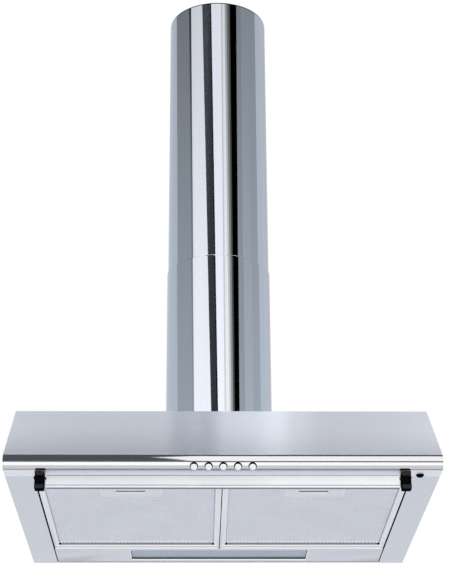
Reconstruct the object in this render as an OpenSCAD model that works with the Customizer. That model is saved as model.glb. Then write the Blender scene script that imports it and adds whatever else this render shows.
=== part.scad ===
// Wall mount range hood with a sloped steel canopy and a round telescopic chimney.
// Millimetres. X runs to the right, Y from the viewer into the wall, Z up.
// Each piece is drawn with the wall at y = 0 and the flat underside at z = 0, and hung()
// then puts the centre of the four wall holes at the origin.

/* [Canopy] */
// Width of the canopy
canopy_w = 600; // [580:10:900]
// Depth from the wall to the tip of the nose
canopy_d = 500; // [490:5:560]
// Height from the underside to the flat top
canopy_h = 129; // [124:1:160]
// Distance from the tip of the nose back to the top edge of the sloped face
face_setback = 132; // [100:2:140]
// Diameter of the round nose under the sloped face
nose_dia = 21.5; // [20:0.5:26]
// Thickness of the steel sheet
sheet = 1; // [0.8:0.1:1.2]
// Width of the strip along each side of the underside
side_strip = 38.6; // [30:0.2:60]
// Depth of the flat lip behind the nose
front_lip = 28; // [26:1:36]
// Height of the upturned rims around the opening in the underside
rim_h = 14; // [11:1:18]

/* [Wall fixing] */
// Height of the centre of the wall holes above the underside
fix_h = 70; // [55:1:80]
// Distance from the side of the canopy to a wall hole
fix_inset = 30; // [20:1:32]
// Distance between the upper and lower wall holes
fix_rise = 70; // [50:2:80]
// Diameter of a wall hole
fix_hole = 6.5; // [5:0.5:8]

/* [Chimney] */
// Outer diameter of the lower chimney tube
chimney_dia = 173; // [168:1:200]
// Wall of both chimney tubes
tube_wall = 1; // [0.8:0.1:1.5]
// Running gap between the upper tube and the lower tube
tube_gap = 0.5; // [0.3:0.1:1]
// Gap between the lower tube and the wall
chimney_off = 2.5; // [2.5:0.5:10]
// Height of the lower tube
lower_h = 344.5; // [300:5:450]
// Height of the upper tube
upper_h = 600; // [450:10:750]
// How much of the upper tube is inside the lower one
upper_lap = 107; // [60:1:150]

/* [Chimney fixing] */
// Width of a foot clip
clip_w = 16; // [12:1:20]
// Height of a foot clip
clip_h = 14; // [13:1:20]
// Thickness of the clips and of the strap in the upper tube
clip_t = 1.5; // [1:0.25:2]
// Angle from the side of the tube back to a foot clip
clip_a = 30; // [20:1:32]
// Height of the strap in the upper tube
strap_h = 25; // [20:1:40]
// Distance from the top of the upper tube to the strap
strap_drop = 17; // [10:1:40]
// Distance between the two wall holes of the strap
strap_span = 50; // [30:2:60]

/* [Duct outlet] */
// Outer diameter of the duct collar
duct_dia = 125; // [118:1:128]
// Wall of the duct collar
duct_wall = 2; // [1.5:0.5:3]
// Height of the collar above the flat top
duct_h = 56; // [45:1:80]
// Height of the damper pin above the flat top
damper_h = 22; // [16:1:30]
// Diameter of the damper pin
damper_pin_dia = 3; // [2.5:0.5:4]
// Thickness of a damper flap
flap_t = 1.5; // [1:0.25:2]

/* [Grease filters] */
// Height of the filter frame
filter_h = 9; // [8:0.5:10]
// Thickness of the mesh pack
mesh_t = 2; // [1.8:0.1:3]
// Visible width of the frame along its sides and front
frame_side = 9.6; // [8:0.2:14]
// Visible width of the frame at the rear
frame_rear = 32; // [20:1:40]
// Seam between a filter and the side strip
side_seam = 2.2; // [1:0.2:2.6]
// Seam between the two filters
mid_seam = 1.2; // [0.8:0.2:2]
// Width of the latch plate
latch_w = 83; // [70:1:100]
// Distance from the front edge of the filter to the rear edge of the latch plate
latch_l = 96; // [90:1:110]
// Width of the finger slot in the latch plate
slot_w = 41; // [34:1:50]
// Length of the finger slot from front to rear
slot_l = 8; // [8:0.5:10]
// Distance from the front edge of the filter to the finger slot
slot_y = 65; // [50:1:66]
// Travel of the latch
latch_travel = 5; // [3:0.5:5]

/* [Lamp panel] */
// Depth of the lamp panel behind the filters
lamp_d = 84.5; // [80:0.5:95]
// Length of the lens
lens_w = 280; // [240:5:320]
// Depth of the lens
lens_d = 52; // [44:1:56]
// Distance from the front edge of the lamp panel to the lens
lens_set = 8.5; // [8:0.5:12]
// How far the lens sits above the face of the panel
lens_recess = 2; // [1:0.5:3]
// Height of the lamp tray above the underside
tray_h = 46; // [46:1:50]
// Diameter of a candle bulb
bulb_dia = 35; // [30:1:36]
// Length of a candle bulb
bulb_l = 98; // [95:1:105]

/* [Push buttons] */
// Distance from one button to the next
button_pitch = 20; // [16:1:30]
// Diameter of a button cap
button_dia = 9.6; // [8:0.2:10]
// How far a button stands out of the nose
button_out = 3.4; // [2.8:0.2:5]
// Travel of a button
button_travel = 2.5; // [1.5:0.25:2.5]

/* [Steam visor] */
// Width of an end bracket
bracket_w = 13; // [12:0.5:18]
// Distance from an end bracket to the side strip
bracket_inset = 4.2; // [2:0.2:12]
// Height of the visor bar
visor_h = 18.4; // [16:0.2:21]
// Depth of the visor bar from front to rear
visor_d = 8; // [7:0.5:9]
// Wall of the visor bar
visor_wall = 1.3; // [1:0.1:1.6]
// Diameter of the visor pins
visor_pin = 4; // [3:0.25:4.5]

/* [Blower] */
// Outer diameter of the impeller
impeller_dia = 180; // [160:5:190]
// Height of the impeller blades
blade_h = 36; // [28:1:40]
// Number of impeller blades
blade_n = 30; // [20:1:36]
// Diameter of the motor
motor_dia = 90; // [80:1:100]
// Height of the motor
motor_h = 34; // [30:1:36]
// Distance from the wall to the axis of the impeller
blower_y = 240; // [232:1:250]
// Clear height between the filters and the blower
suction_gap = 25; // [15:1:28]
// Gap between the blower and the flat top
lid_gap = 8; // [6:0.5:10]
// Diameter of the motor shaft
shaft_dia = 8; // [6:0.5:10]

/* [Electrical parts] */
// Diameter of the motor capacitor
capacitor_dia = 30; // [25:1:35]
// Length of the motor capacitor
capacitor_l = 55; // [45:1:70]
// Width of the junction box
box_w = 110; // [80:2:110]
// Depth of the junction box
box_d = 70; // [50:2:80]
// Height of the junction box
box_h = 36; // [25:1:45]
// Outer diameter of the mains gland
gland_dia = 12; // [11:0.5:16]
// Diameter of the bore for the mains cord
gland_bore = 7; // [6:0.5:8]

/* [Fasteners] */
// Diameter of the sheet screws
screw_dia = 4; // [3:0.2:4.2]
// Diameter of the blind rivets of the lamp panel
rivet_dia = 4; // [3:0.2:5]
// Diameter of the screws of the visor brackets
visor_screw_dia = 3; // [2.5:0.1:3.5]

/* [Hidden] */
$fn = 96;

// Clearances: between seated pieces, moving pieces, a pin in its bore, a screw in its hole
seat_gap = 0.1;
run_gap = 0.3;
pin_gap = 0.05;
screw_gap = 0.2;
// How far a cutting shape runs past what it cuts
cut = 1;

// Colours as the photograph shows them
steel = "lightgray";
bright = "gainsboro";
black = "#1c1c1e";
inner_grey = "darkgray";
galvanised = "silver";

// Outline of the canopy seen from the side
half_w = canopy_w / 2;
nose_r = nose_dia / 2;
nose_y = -(canopy_d - nose_r);
top_y = -(canopy_d - face_setback);
top_in = canopy_h - sheet;
lip_y = nose_y + front_lip;
open_x = half_w - side_strip;
face_run = top_y - nose_y;
face_rise = canopy_h - nose_r;
nose_a = atan2(face_rise, face_run) + acos(nose_r / norm([face_run, face_rise]));
face_a = nose_a - 90;
nose_r_in = nose_r - sheet;
face_top = [top_y, canopy_h];
face_top_in = [top_y + sheet * tan(face_a / 2), top_in];
face_low = [nose_y + nose_r * cos(nose_a), nose_r + nose_r * sin(nose_a)];
face_low_in = [nose_y + nose_r_in * cos(nose_a), nose_r + nose_r_in * sin(nose_a)];

// Fasteners
screw_r = screw_dia / 2;
screw_head_r = screw_r + 1.6;
screw_head_t = 2.2;
rivet_r = rivet_dia / 2;
visor_screw_r = visor_screw_dia / 2;

// Chimney
chimney_r = chimney_dia / 2;
chimney_y = -(chimney_r + chimney_off);
lower_in_r = chimney_r - tube_wall;
upper_r = lower_in_r - tube_gap;
upper_in_r = upper_r - tube_wall;
upper_z = canopy_h + lower_h - upper_lap;
clip_angles = [clip_a, 180 - clip_a];
clip_set = 8;
clip_foot = 6;
clip_screw_l = 6;
clip_screw_x = lower_in_r - clip_set;
clip_screw_z = canopy_h + clip_set;
clip_foot_x = clip_screw_x - clip_foot;
strap_r = upper_in_r - run_gap;
strap_z = upper_z + upper_h - strap_drop - strap_h;
pad_half = strap_span / 2 + 17;
pad_t = 3;
pad_y = sqrt(pow(strap_r, 2) - pow(pad_half, 2)) - pad_t / 2;
pad_hole_r = 3.25;
boss_r = pad_hole_r + 1.75;

// Duct collar and damper
duct_r = duct_dia / 2;
duct_in_r = duct_r - duct_wall;
duct_hole_r = duct_r + 0.5;
collar_flange_r = duct_r + 8.5;
collar_flange_t = 2;
collar_screw_r = duct_r + 4.7;
collar_screw_l = 7;
collar_angles = [45, 135, 225, 315];
damper_z = canopy_h + damper_h;
damper_pin_r = damper_pin_dia / 2;
stop_r = duct_in_r - 4;
stop_t = 2;
knuckle_r = damper_pin_r + 1.7;
knuckle_w = 9;
knuckle_x = [-34, 6];
flap_root = knuckle_r + 1.4;
flap_r = duct_in_r - 0.8;

// Grease filters, drawn for the right side
filter_front = lip_y + 0.4;
filter_rear = -(lamp_d + 0.8);
filter_x0 = mid_seam / 2;
filter_x1 = open_x - side_seam;
filter_x = (filter_x0 + filter_x1) / 2;
filter_t = 1.4;
filter_lap = 5;
fold_t = 1;
groove_top = filter_t + mesh_t + 2 * seat_gap;
latch_z = filter_t + 0.2;
latch_t = 1;
latch_top = latch_z + latch_t;
latch_inset = 3;
plate_end = filter_front + latch_l;
slot_front = filter_front + slot_y;
tab_front = slot_front + 0.4;
tab_t = 2;
tab_inset = 1.5;
finger_l = 20;
tongue_w = 40;
tongue_t = 1;
tongue_x = 70;

// Lamp panel
panel_x = open_x - seat_gap;
lamp_rear = -(sheet + seat_gap);
lamp_flange = 3;
lens_y = lamp_d - lens_set - lens_d / 2;
lens_rim = 8;
lens_gap = 0.4;
lens_t = 3;
tray_x = lens_w / 2 + sheet + 6;
tray_y0 = -(lamp_d - 4.5);
tray_y1 = -lens_y + lens_d / 2 + sheet + 5;
rivet_ys = [-lamp_d + 12, -18];
rivet_head_t = 1.5;
bulb_z = 26;
bulb_cap_r = 7;
holder_l = 26;
holder_r = 13;
holder_end = 4;
holder_x = tray_x - sheet - seat_gap;

// Buttons, drawn along the press axis, with the centre of the nose at zero
button_n = 5;
button_r = button_dia / 2;
sleeve_in_r = button_r + run_gap;
sleeve_r = sleeve_in_r + 0.5;
button_hole_r = sleeve_r + 0.15;
sleeve_end = sqrt(nose_r * nose_r - sleeve_r * sleeve_r) - 0.2;
cap_in = nose_r - 5;
switch_face = 3;
switch_depth = 24;
switch_low = 12;
switch_high = 6;
stem_r = 2;
stem_end = -9;
stem_bore_end = stem_end - button_travel - 0.7;
switch_half = (button_n - 1) / 2 * button_pitch + 17;
ear_t = 3;

// Steam visor
bracket_x1 = open_x - bracket_inset;
bracket_x0 = bracket_x1 - bracket_w;
bracket_x = (bracket_x0 + bracket_x1) / 2;
bracket_front = nose_y + 3;
bracket_rear = nose_y + 23;
bracket_low = -24.5;
visor_side = 3.2;
visor_half = bracket_x0 - visor_side;
visor_y = nose_y + 11.25;
visor_z = -8.5;
visor_top = -4.8;
visor_front = visor_y - 4.5;
visor_lip = 1.7;
visor_pin_r = visor_pin / 2;
pin_reach = 8;
pin_block = 10;
visor_screw_set = 19.5;
visor_screw_y = nose_y + visor_screw_set;
visor_screw_l = 11;

// Blower
impeller_r = impeller_dia / 2;
blower_low = filter_h + suction_gap;
lid_top = top_in - lid_gap;
lid_low = lid_top - sheet;
scroll_gap0 = 10;
scroll_gap1 = 40;
scroll_a0 = 135;
scroll_sweep = 225;
scroll_step = 9;
scroll_rear = -8;
throat_x = (impeller_r + scroll_gap0) * cos(scroll_a0);
tray_clear = 3;
inlet_r = impeller_r - 16;
motor_r = motor_dia / 2;
motor_low = lid_low - motor_h;
motor_neck_r = motor_r - 14;
motor_screw_r = 22;
motor_screw_l = 6;
plate_t = 2;
hub_top = motor_low - 3;
hub_l = 16;
blade_low = hub_top - plate_t - blade_h;
blade_in_r = impeller_r - 20;
blade_l = 18;
blade_t = 1.2;
blade_a = 30;
shaft_r = shaft_dia / 2;
shaft_low = hub_top - hub_l;
shaft_in = motor_h - 8;
spacer_r = 6;
spacer_front_x = 60;
spacer_front_in = 40;
spacer_screw_in = 4;
spacer_rear_r = (collar_flange_r + lower_in_r) / 2;
spacer_places = concat(
    [for (s = [-1, 1]) [s * spacer_front_x, -(blower_y - spacer_front_in)]],
    [for (a = [45, 135]) [spacer_rear_r * cos(a), chimney_y + spacer_rear_r * sin(a)]]);

// Electrical parts
capacitor_r = capacitor_dia / 2;
capacitor_inset = 110;
capacitor_x = -(half_w - capacitor_inset);
capacitor_y = -150;
band_in_r = capacitor_r + seat_gap;
band_t = 1.2;
band_w = 12;
band_foot = 9;
band_plate = [band_in_r + 0.3, band_in_r + 1.3];
capacitor_z = top_in - band_plate[1];
box_inset = 40;
box_x = half_w - box_inset - box_w / 2;
box_t = 2;
gland_r = gland_dia / 2;
gland_y = -(sheet + box_d / 2);
gland_flange = 3;
gland_flange_h = 4;
gland_cone_h = 10;
gland_low = top_in - box_t - 3;
gland_top = canopy_h + gland_flange_h + gland_cone_h;

// Plug in the right end of the front lip
plug_inset = 28.6;
plug_set = 20.5;
plug_x = half_w - plug_inset;
plug_y = nose_y + plug_set;
plug_r = 3.25;
plug_flange_h = 1.2;
plug_low = -2.9;

// Lifts a piece from the drawing frame into the frame of the part
module hung() translate([0, 0, -fix_h]) children();

// Extrudes a side view (its x is the part's Y, its y is the part's Z) along X
module along_x(x0, x1) translate([x0, 0, 0]) rotate([90, 0, 90]) linear_extrude(x1 - x0) children();

// A block between two corners
module block(low, high) translate(low) cube(high - low);

// A round rod along X from x0 to x1
module rod_x(r, x0, x1) translate([x0, 0, 0]) rotate([0, 90, 0]) cylinder(r = r, h = x1 - x0);

// A vertical bore through a sheet whose underside is at z
module sheet_bore(r, z) translate([0, 0, z - cut]) cylinder(r = r, h = sheet + 2 * cut);

// A round tube standing on z
module tube(r, r_in, z, h) translate([0, 0, z]) difference() {
    cylinder(r = r, h = h);
    translate([0, 0, -cut]) cylinder(r = r_in, h = h + 2 * cut);
}

// A pan head screw hanging down from zero: head above, shank of length l below
module screw_down(r, l) {
    cylinder(r = r + screw_head_r - screw_r, h = screw_head_t);
    translate([0, 0, -l]) cylinder(r = r, h = l + 0.5);
}

// Turns local +Z to the way the buttons point out of the nose
module press_axis(x) translate([x, nose_y, nose_r]) rotate([135, 0, 0]) children();

// Puts a piece that is drawn round zero on the axis of the chimney
module at_chimney() translate([0, chimney_y, 0]) children();

// Puts a piece on the axis of the impeller
module at_blower() translate([0, -blower_y, 0]) children();

// Canopy
// Side view of the folded front sheet: slope, nose and lip
module front_sheet_2d() {
    polygon([face_top, face_low, face_low_in, face_top_in]);
    intersection() {
        translate([nose_y, nose_r]) difference() {
            circle(r = nose_r);
            circle(r = nose_r_in);
        }
        polygon([[nose_y, nose_r], [nose_y, -nose_r], [nose_y - 4 * nose_r, -nose_r],
            [nose_y - 4 * nose_r, nose_r + 4 * nose_r * tan(180 - nose_a)]]);
    }
    translate([nose_y, 0]) square([front_lip, sheet]);
}

// Side view of the space inside the folded sheets
module cheek_2d(gap) {
    polygon([[0, 0], [0, top_in], face_top_in, face_low_in, [nose_y, nose_r],
        [nose_y, sheet], [lip_y, sheet], [lip_y, 0]]);
    translate([nose_y, nose_r]) circle(r = nose_r_in - gap);
}

module front_panel() hung() color(steel) difference() {
    union() {
        along_x(-half_w, half_w) front_sheet_2d();
        block([-open_x - sheet, lip_y - sheet, 0], [open_x + sheet, lip_y, rim_h]);
    }
    for (i = [1:button_n]) press_axis(button_x(i)) cylinder(r = button_hole_r, h = nose_r + cut);
    for (s = [-1, 1]) translate([s * bracket_x, visor_screw_y, 0]) sheet_bore(visor_screw_r + screw_gap, 0);
    translate([plug_x, plug_y, 0]) sheet_bore(plug_r + 0.15, 0);
}

module top_panel() hung() color(steel) difference() {
    along_x(-half_w, half_w) polygon([[0, top_in], [0, canopy_h], face_top, face_top_in]);
    at_chimney() sheet_bore(duct_hole_r, top_in);
    for (a = collar_angles) collar_place(a) sheet_bore(screw_r + screw_gap, top_in);
    for (a = clip_angles) clip_place(a) translate([clip_screw_x, 0, 0])
        sheet_bore(screw_r + screw_gap, top_in);
    for (p = spacer_places) translate(p) sheet_bore(screw_r + screw_gap, top_in);
    translate([box_x, gland_y, 0]) sheet_bore(gland_r + screw_gap, top_in);
}

// Cheek plate with the underside strip and its upturned rim, drawn for the right side
module cheek() {
    along_x(half_w - sheet, half_w) cheek_2d(seat_gap);
    block([open_x, lip_y, 0], [half_w - sheet, 0, sheet]);
    difference() {
        block([open_x, lip_y, 0], [open_x + sheet, -sheet, rim_h]);
        for (y = rivet_ys) translate([0, y, rim_h / 2])
            rod_x(rivet_r + pin_gap, open_x - cut, open_x + sheet + cut);
    }
}

module cheek_right() hung() color(steel) cheek();

module cheek_left() hung() color(steel) mirror([1, 0, 0]) cheek();

module back_panel() hung() color(galvanised) difference() {
    block([-(half_w - sheet), -sheet, sheet], [half_w - sheet, 0, top_in]);
    for (x = [-1, 1], z = [-1, 1])
        translate([x * (half_w - fix_inset), cut, fix_h + z * fix_rise / 2]) rotate([90, 0, 0])
            cylinder(r = fix_hole / 2, h = sheet + 2 * cut);
}

// Chimney
module clip_place(a) at_chimney() rotate([0, 0, a]) children();

module chimney_lower() hung() color(steel) difference() {
    at_chimney() tube(chimney_r, lower_in_r, canopy_h, lower_h);
    for (a = clip_angles) clip_place(a) translate([0, 0, clip_screw_z])
        rod_x(screw_r + screw_gap, clip_screw_x, chimney_r + cut);
}

// Two foot clips inside the lower tube, screwed to the flat top and to the tube
module chimney_clips() hung() color(galvanised) for (a = clip_angles) clip_place(a) difference() {
    union() {
        intersection() {
            tube(lower_in_r - seat_gap, lower_in_r - seat_gap - clip_t, canopy_h, clip_h);
            block([0, -clip_w / 2, canopy_h], [chimney_r, clip_w / 2, canopy_h + clip_h]);
        }
        block([clip_foot_x, -clip_w / 2, canopy_h], [lower_in_r - clip_t, clip_w / 2, canopy_h + clip_t]);
    }
    translate([clip_screw_x, 0, canopy_h - cut]) cylinder(r = screw_r + seat_gap, h = clip_t + 2 * cut);
    translate([0, 0, clip_screw_z]) rod_x(screw_r + seat_gap, lower_in_r - 4, chimney_r);
}

module chimney_screws() hung() color(bright) for (a = clip_angles) clip_place(a) {
    translate([chimney_r, 0, clip_screw_z]) rotate([0, 90, 0]) screw_down(screw_r, clip_screw_l);
    translate([clip_screw_x, 0, canopy_h + clip_t]) screw_down(screw_r, clip_screw_l);
}

module chimney_upper() hung() color(steel) difference() {
    at_chimney() tube(upper_r, upper_in_r, upper_z, upper_h);
    strap_bores(boss_r + run_gap, chimney_y + pad_y);
}

// Vertical pair of bores along Y for the wall screws of the strap, from y0 to the wall
module strap_bores(r, y0) for (s = [-1, 1]) translate([s * strap_span / 2, y0, strap_z + strap_h / 2])
    rotate([-90, 0, 0]) cylinder(r = r, h = cut - y0);

// Strap inside the upper tube, with a flat pad and two bosses that reach the wall through the tube
module chimney_bracket() hung() color(galvanised) difference() {
    union() {
        at_chimney() difference() {
            tube(strap_r, strap_r - clip_t, strap_z, strap_h);
            block([-pad_half + 0.5, 0, strap_z - cut], [pad_half - 0.5, chimney_r, strap_z + strap_h + cut]);
            block([-chimney_r, -chimney_r, strap_z - cut], [chimney_r, -20, strap_z + strap_h + cut]);
        }
        at_chimney() block([-pad_half, pad_y - pad_t / 2, strap_z],
            [pad_half, pad_y + pad_t / 2, strap_z + strap_h]);
        for (s = [-1, 1]) translate([s * strap_span / 2, chimney_y + pad_y, strap_z + strap_h / 2])
            rotate([-90, 0, 0]) cylinder(r = boss_r, h = -chimney_y - pad_y);
    }
    strap_bores(pad_hole_r, chimney_y + pad_y - pad_t);
}

// Steam visor
// Section of the visor bar: flat front over a rolled lower lip, drawn smaller by off on all sides
module visor_2d(off) {
    low = visor_top - visor_h;
    front = visor_front + off;
    rear = visor_front + visor_d - off;
    toe = off > 0 ? [[front, low + off]] : [[front, low + 5.7], [front - visor_lip, low + 4.2],
        [front - visor_lip, low + 1.2], [front - visor_lip / 2, low]];
    polygon(concat([[front, visor_top - off]], toe,
        [[rear - 3, low + off], [rear, low + 5 + off / 2], [rear, visor_top - off]]));
}

module visor_bar() hung() color(bright) difference() {
    along_x(-visor_half, visor_half) visor_2d(0);
    along_x(-visor_half - cut, visor_half + cut) visor_2d(visor_wall);
}

// A pin at each end of the visor bar, standing on a block that fills the bar's section
module visor_pin_end() {
    along_x(visor_half - pin_block, visor_half - 0.5) visor_2d(visor_wall + pin_gap);
    translate([0, visor_y, visor_z]) rod_x(visor_pin_r, visor_half - 1, bracket_x0 + pin_reach);
}

module visor_pins() hung() color(bright) for (s = [0, 1]) mirror([s, 0, 0]) visor_pin_end();

// End bracket for the right side: side view cut out, with a blind bore for the pin
module visor_bracket() difference() {
    along_x(bracket_x0, bracket_x1) polygon([
        [bracket_front, 0], [bracket_front + 2.5, -5.5], [bracket_front + 2, -17],
        [bracket_front - 0.5, -19.5], [bracket_front - 0.5, bracket_low + 2], [bracket_front + 1.5, bracket_low],
        [bracket_rear - 5, bracket_low], [bracket_rear, bracket_low + 8], [bracket_rear, 0]]);
    translate([0, visor_y, visor_z])
        rod_x(visor_pin_r + pin_gap, bracket_x0 - cut, bracket_x0 + pin_reach + 0.8);
    translate([bracket_x, visor_screw_y, -visor_screw_l - 1])
        cylinder(r = visor_screw_r + pin_gap, h = visor_screw_l + 1 + cut);
}

module visor_bracket_right() hung() color(black) visor_bracket();

module visor_bracket_left() hung() color(black) mirror([1, 0, 0]) visor_bracket();

module visor_screws() hung() color(galvanised) for (s = [-1, 1])
    translate([s * bracket_x, visor_screw_y, sheet]) screw_down(visor_screw_r, visor_screw_l);

// Buttons
function button_x(i) = (i - (button_n + 1) / 2) * button_pitch;

module button(i) hung() color("white") press_axis(button_x(i)) {
    translate([0, 0, cap_in]) cylinder(r = button_r, h = nose_r + button_out - cap_in);
    translate([0, 0, stem_end]) cylinder(r = stem_r, h = cap_in - stem_end + 0.5);
}

// Switch block behind the nose with a sleeve for each button and two ears on the lip
module switch_housing() hung() color(black) difference() {
    union() {
        press_axis(0) block([-switch_half, -switch_low, -switch_face - switch_depth],
            [switch_half, switch_high, -switch_face]);
        for (s = [-1, 1]) translate([s * (switch_half - ear_t / 2), 0, 0]) along_x(-ear_t / 2, ear_t / 2)
            polygon([[nose_y + 3, sheet], [nose_y + 21, sheet], [nose_y + 24, nose_r + 7],
                [nose_y + 8, nose_r + 5]]);
        for (i = [1:button_n]) press_axis(button_x(i)) translate([0, 0, -switch_face - 1])
            cylinder(r = sleeve_r, h = sleeve_end + switch_face + 1);
    }
    for (i = [1:button_n]) press_axis(button_x(i)) {
        translate([0, 0, -switch_face]) cylinder(r = sleeve_in_r, h = nose_r + switch_face);
        translate([0, 0, stem_bore_end]) cylinder(r = stem_r + run_gap, h = nose_r - stem_bore_end);
    }
}

// Grease filters
// Frame folded round a mesh: lower lip, groove for the mesh, retaining fold and outer wall
module filter_frame() difference() {
    block([filter_x0, filter_front, 0], [filter_x1, filter_rear, filter_h]);
    difference() {
        filter_window(0, -cut, filter_h + cut);
        latch_room(0, -2 * cut, plate_end, filter_t);
    }
    filter_window(filter_lap, filter_t, groove_top);
    block([filter_x0 + filter_t, filter_front + filter_t, groove_top + fold_t],
        [filter_x1 - filter_t, filter_rear - filter_t, filter_h + cut]);
    block([filter_x0 + filter_t, filter_rear - frame_rear + filter_lap + filter_t, filter_t],
        [filter_x1 - filter_t, filter_rear - filter_t, filter_h + cut]);
    block([filter_x - slot_w / 2, slot_front, -cut], [filter_x + slot_w / 2, slot_front + slot_l, filter_h]);
    block([filter_x - tongue_w / 2 - 0.5, filter_front - cut, filter_t],
        [filter_x + tongue_w / 2 + 0.5, filter_front + frame_side, latch_top + 0.2]);
}

// The window of the frame between two heights, larger by grow on each side
module filter_window(grow, z0, z1)
    block([filter_x0 + frame_side - grow, filter_front + frame_side - grow, z0],
        [filter_x1 - frame_side + grow, filter_rear - frame_rear + grow, z1]);

// The room of the latch plate from the front edge to y1, between two heights
module latch_room(grow, z0, y1, z1)
    block([filter_x - latch_w / 2 - grow, filter_front, z0], [filter_x + latch_w / 2 + grow, y1, z1]);

// Two rear tongues that lie on the front flange of the lamp panel
module filter_tongues() for (s = [-1, 1]) translate([filter_x + s * tongue_x, 0, lamp_flange + 0.2])
    block([-12, filter_rear - filter_t - 0.6, 0], [12, tray_y0 - 0.8, tongue_t]);

module filter_frame_right() hung() color(steel) {
    filter_frame();
    filter_tongues();
}

module filter_frame_left() hung() color(steel) mirror([1, 0, 0]) {
    filter_frame();
    filter_tongues();
}

// Pack of expanded aluminium layers, with a pocket over the latch and finger room over the slot
module filter_mesh() difference() {
    filter_window(filter_lap - seat_gap, filter_t + seat_gap, groove_top - seat_gap);
    latch_room(1, 0, plate_end + 1, latch_top + 0.3);
    block([filter_x - slot_w / 2 - 2, slot_front - 2, 0],
        [filter_x + slot_w / 2 + 2, slot_front + finger_l, filter_h]);
}

module filter_mesh_right() hung() color(inner_grey) filter_mesh();

module filter_mesh_left() hung() color(inner_grey) mirror([1, 0, 0]) filter_mesh();

// Sliding latch: a plate with a front tongue, a finger tab in the slot and a window behind the tab
module filter_latch() difference() {
    union() {
        block([filter_x - latch_w / 2 + latch_inset, filter_front + frame_side - filter_lap + 0.4, latch_z],
            [filter_x + latch_w / 2 - latch_inset, plate_end - latch_travel - 2, latch_top]);
        block([filter_x - tongue_w / 2, filter_front + 0.1, latch_z],
            [filter_x + tongue_w / 2, filter_front + frame_side, latch_top]);
        block([filter_x - slot_w / 2 + tab_inset, tab_front, 0.3],
            [filter_x + slot_w / 2 - tab_inset, tab_front + tab_t, latch_top]);
    }
    block([filter_x - slot_w / 2 + tab_inset, tab_front + tab_t, latch_z - cut],
        [filter_x + slot_w / 2 - tab_inset, slot_front + slot_l + latch_travel, latch_top + cut]);
}

module filter_latch_right() hung() color(galvanised) filter_latch();

module filter_latch_left() hung() color(galvanised) mirror([1, 0, 0]) filter_latch();

// Lamp panel between the filters and the wall
module lamp_panel() hung() color(steel) difference() {
    union() {
        block([-panel_x, -lamp_d, 0], [panel_x, lamp_rear, sheet]);
        block([-panel_x, -lamp_d, 0], [panel_x, -lamp_d + sheet, lamp_flange]);
        for (s = [0, 1]) mirror([s, 0, 0])
            block([panel_x - sheet, -lamp_d + sheet, 0], [panel_x, lamp_rear, rim_h]);
        lens_block(sheet, 0, lens_rim);
    }
    lens_block(0, -cut, lens_rim + cut);
    for (s = [0, 1], y = rivet_ys) mirror([s, 0, 0]) translate([0, y, rim_h / 2])
        rod_x(rivet_r + pin_gap, panel_x - sheet - cut, panel_x + cut);
}

// The space of the lens opening between two heights, larger by grow on each side
module lens_block(grow, z0, z1) translate([0, -lens_y, 0])
    block([-lens_w / 2 - grow, -lens_d / 2 - grow, z0], [lens_w / 2 + grow, lens_d / 2 + grow, z1]);

module lamp_panel_rivets() hung() color(bright)
    for (s = [0, 1], y = rivet_ys) mirror([s, 0, 0]) translate([0, y, rim_h / 2]) {
        rod_x(rivet_r + 1.5, panel_x - sheet - rivet_head_t, panel_x - sheet);
        rod_x(rivet_r, panel_x - sheet - 0.5, panel_x + sheet + 2);
    }

module lamp_lens() hung() color("lightsteelblue") lens_block(-lens_gap, lens_recess, lens_recess + lens_t);

// Sheet tray over the lens that holds the lamps and reflects their light
module lamp_tray() hung() color(bright) difference() {
    block([-tray_x, tray_y0, sheet], [tray_x, tray_y1, tray_h]);
    block([-tray_x + sheet, tray_y0 + sheet, 0], [tray_x - sheet, tray_y1 - sheet, tray_h - sheet]);
}

// Lampholder on the end wall of the tray, drawn for the right side
module lampholder() translate([0, -lens_y, bulb_z]) {
    rod_x(holder_r + 4, holder_x - 3, holder_x);
    difference() {
        rod_x(holder_r, holder_x - holder_l, holder_x);
        rod_x(bulb_cap_r + run_gap, holder_x - holder_l - cut, holder_x - holder_end);
    }
}

// Candle bulb as a turned profile: cap, neck, belly and tip, along its own axis
module bulb() {
    belly = bulb_dia / 2;
    glass = bulb_l - 27;
    translate([holder_x - holder_end - 0.8, -lens_y, bulb_z]) rotate([0, -90, 0]) rotate_extrude() polygon([
        [0, 0], [bulb_cap_r - 3, 0], [bulb_cap_r - 2, 1.5], [bulb_cap_r, 3], [bulb_cap_r, 24],
        [bulb_cap_r + 1.5, 27], [belly * 0.66, 27 + glass * 0.1], [belly * 0.88, 27 + glass * 0.21],
        [belly * 0.98, 27 + glass * 0.32], [belly, 27 + glass * 0.41], [belly * 0.97, 27 + glass * 0.51],
        [belly * 0.85, 27 + glass * 0.63], [belly * 0.62, 27 + glass * 0.78],
        [belly * 0.32, 27 + glass * 0.92], [belly * 0.12, bulb_l - 1], [0, bulb_l]]);
}

module lampholder_right() hung() color("ivory") lampholder();

module lampholder_left() hung() color("ivory") mirror([1, 0, 0]) lampholder();

module bulb_right() hung() color("whitesmoke") bulb();

module bulb_left() hung() color("whitesmoke") mirror([1, 0, 0]) bulb();

// Blower
// Radius of the scroll at t degrees past its start, drawn smaller by off
function scroll_r(t, off) = impeller_r + scroll_gap0 + (scroll_gap1 - scroll_gap0) * t / scroll_sweep - off;

// Plan view of the scroll: a spiral round the impeller that opens into the outlet box
module scroll_2d(off) polygon(concat(
    [for (t = [0:scroll_step:scroll_sweep])
        [scroll_r(t, off) * cos(scroll_a0 + t), scroll_r(t, off) * sin(scroll_a0 + t) - blower_y]],
    [[scroll_r(scroll_sweep, off), scroll_rear - off], [throat_x + off, scroll_rear - off]]));

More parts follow.
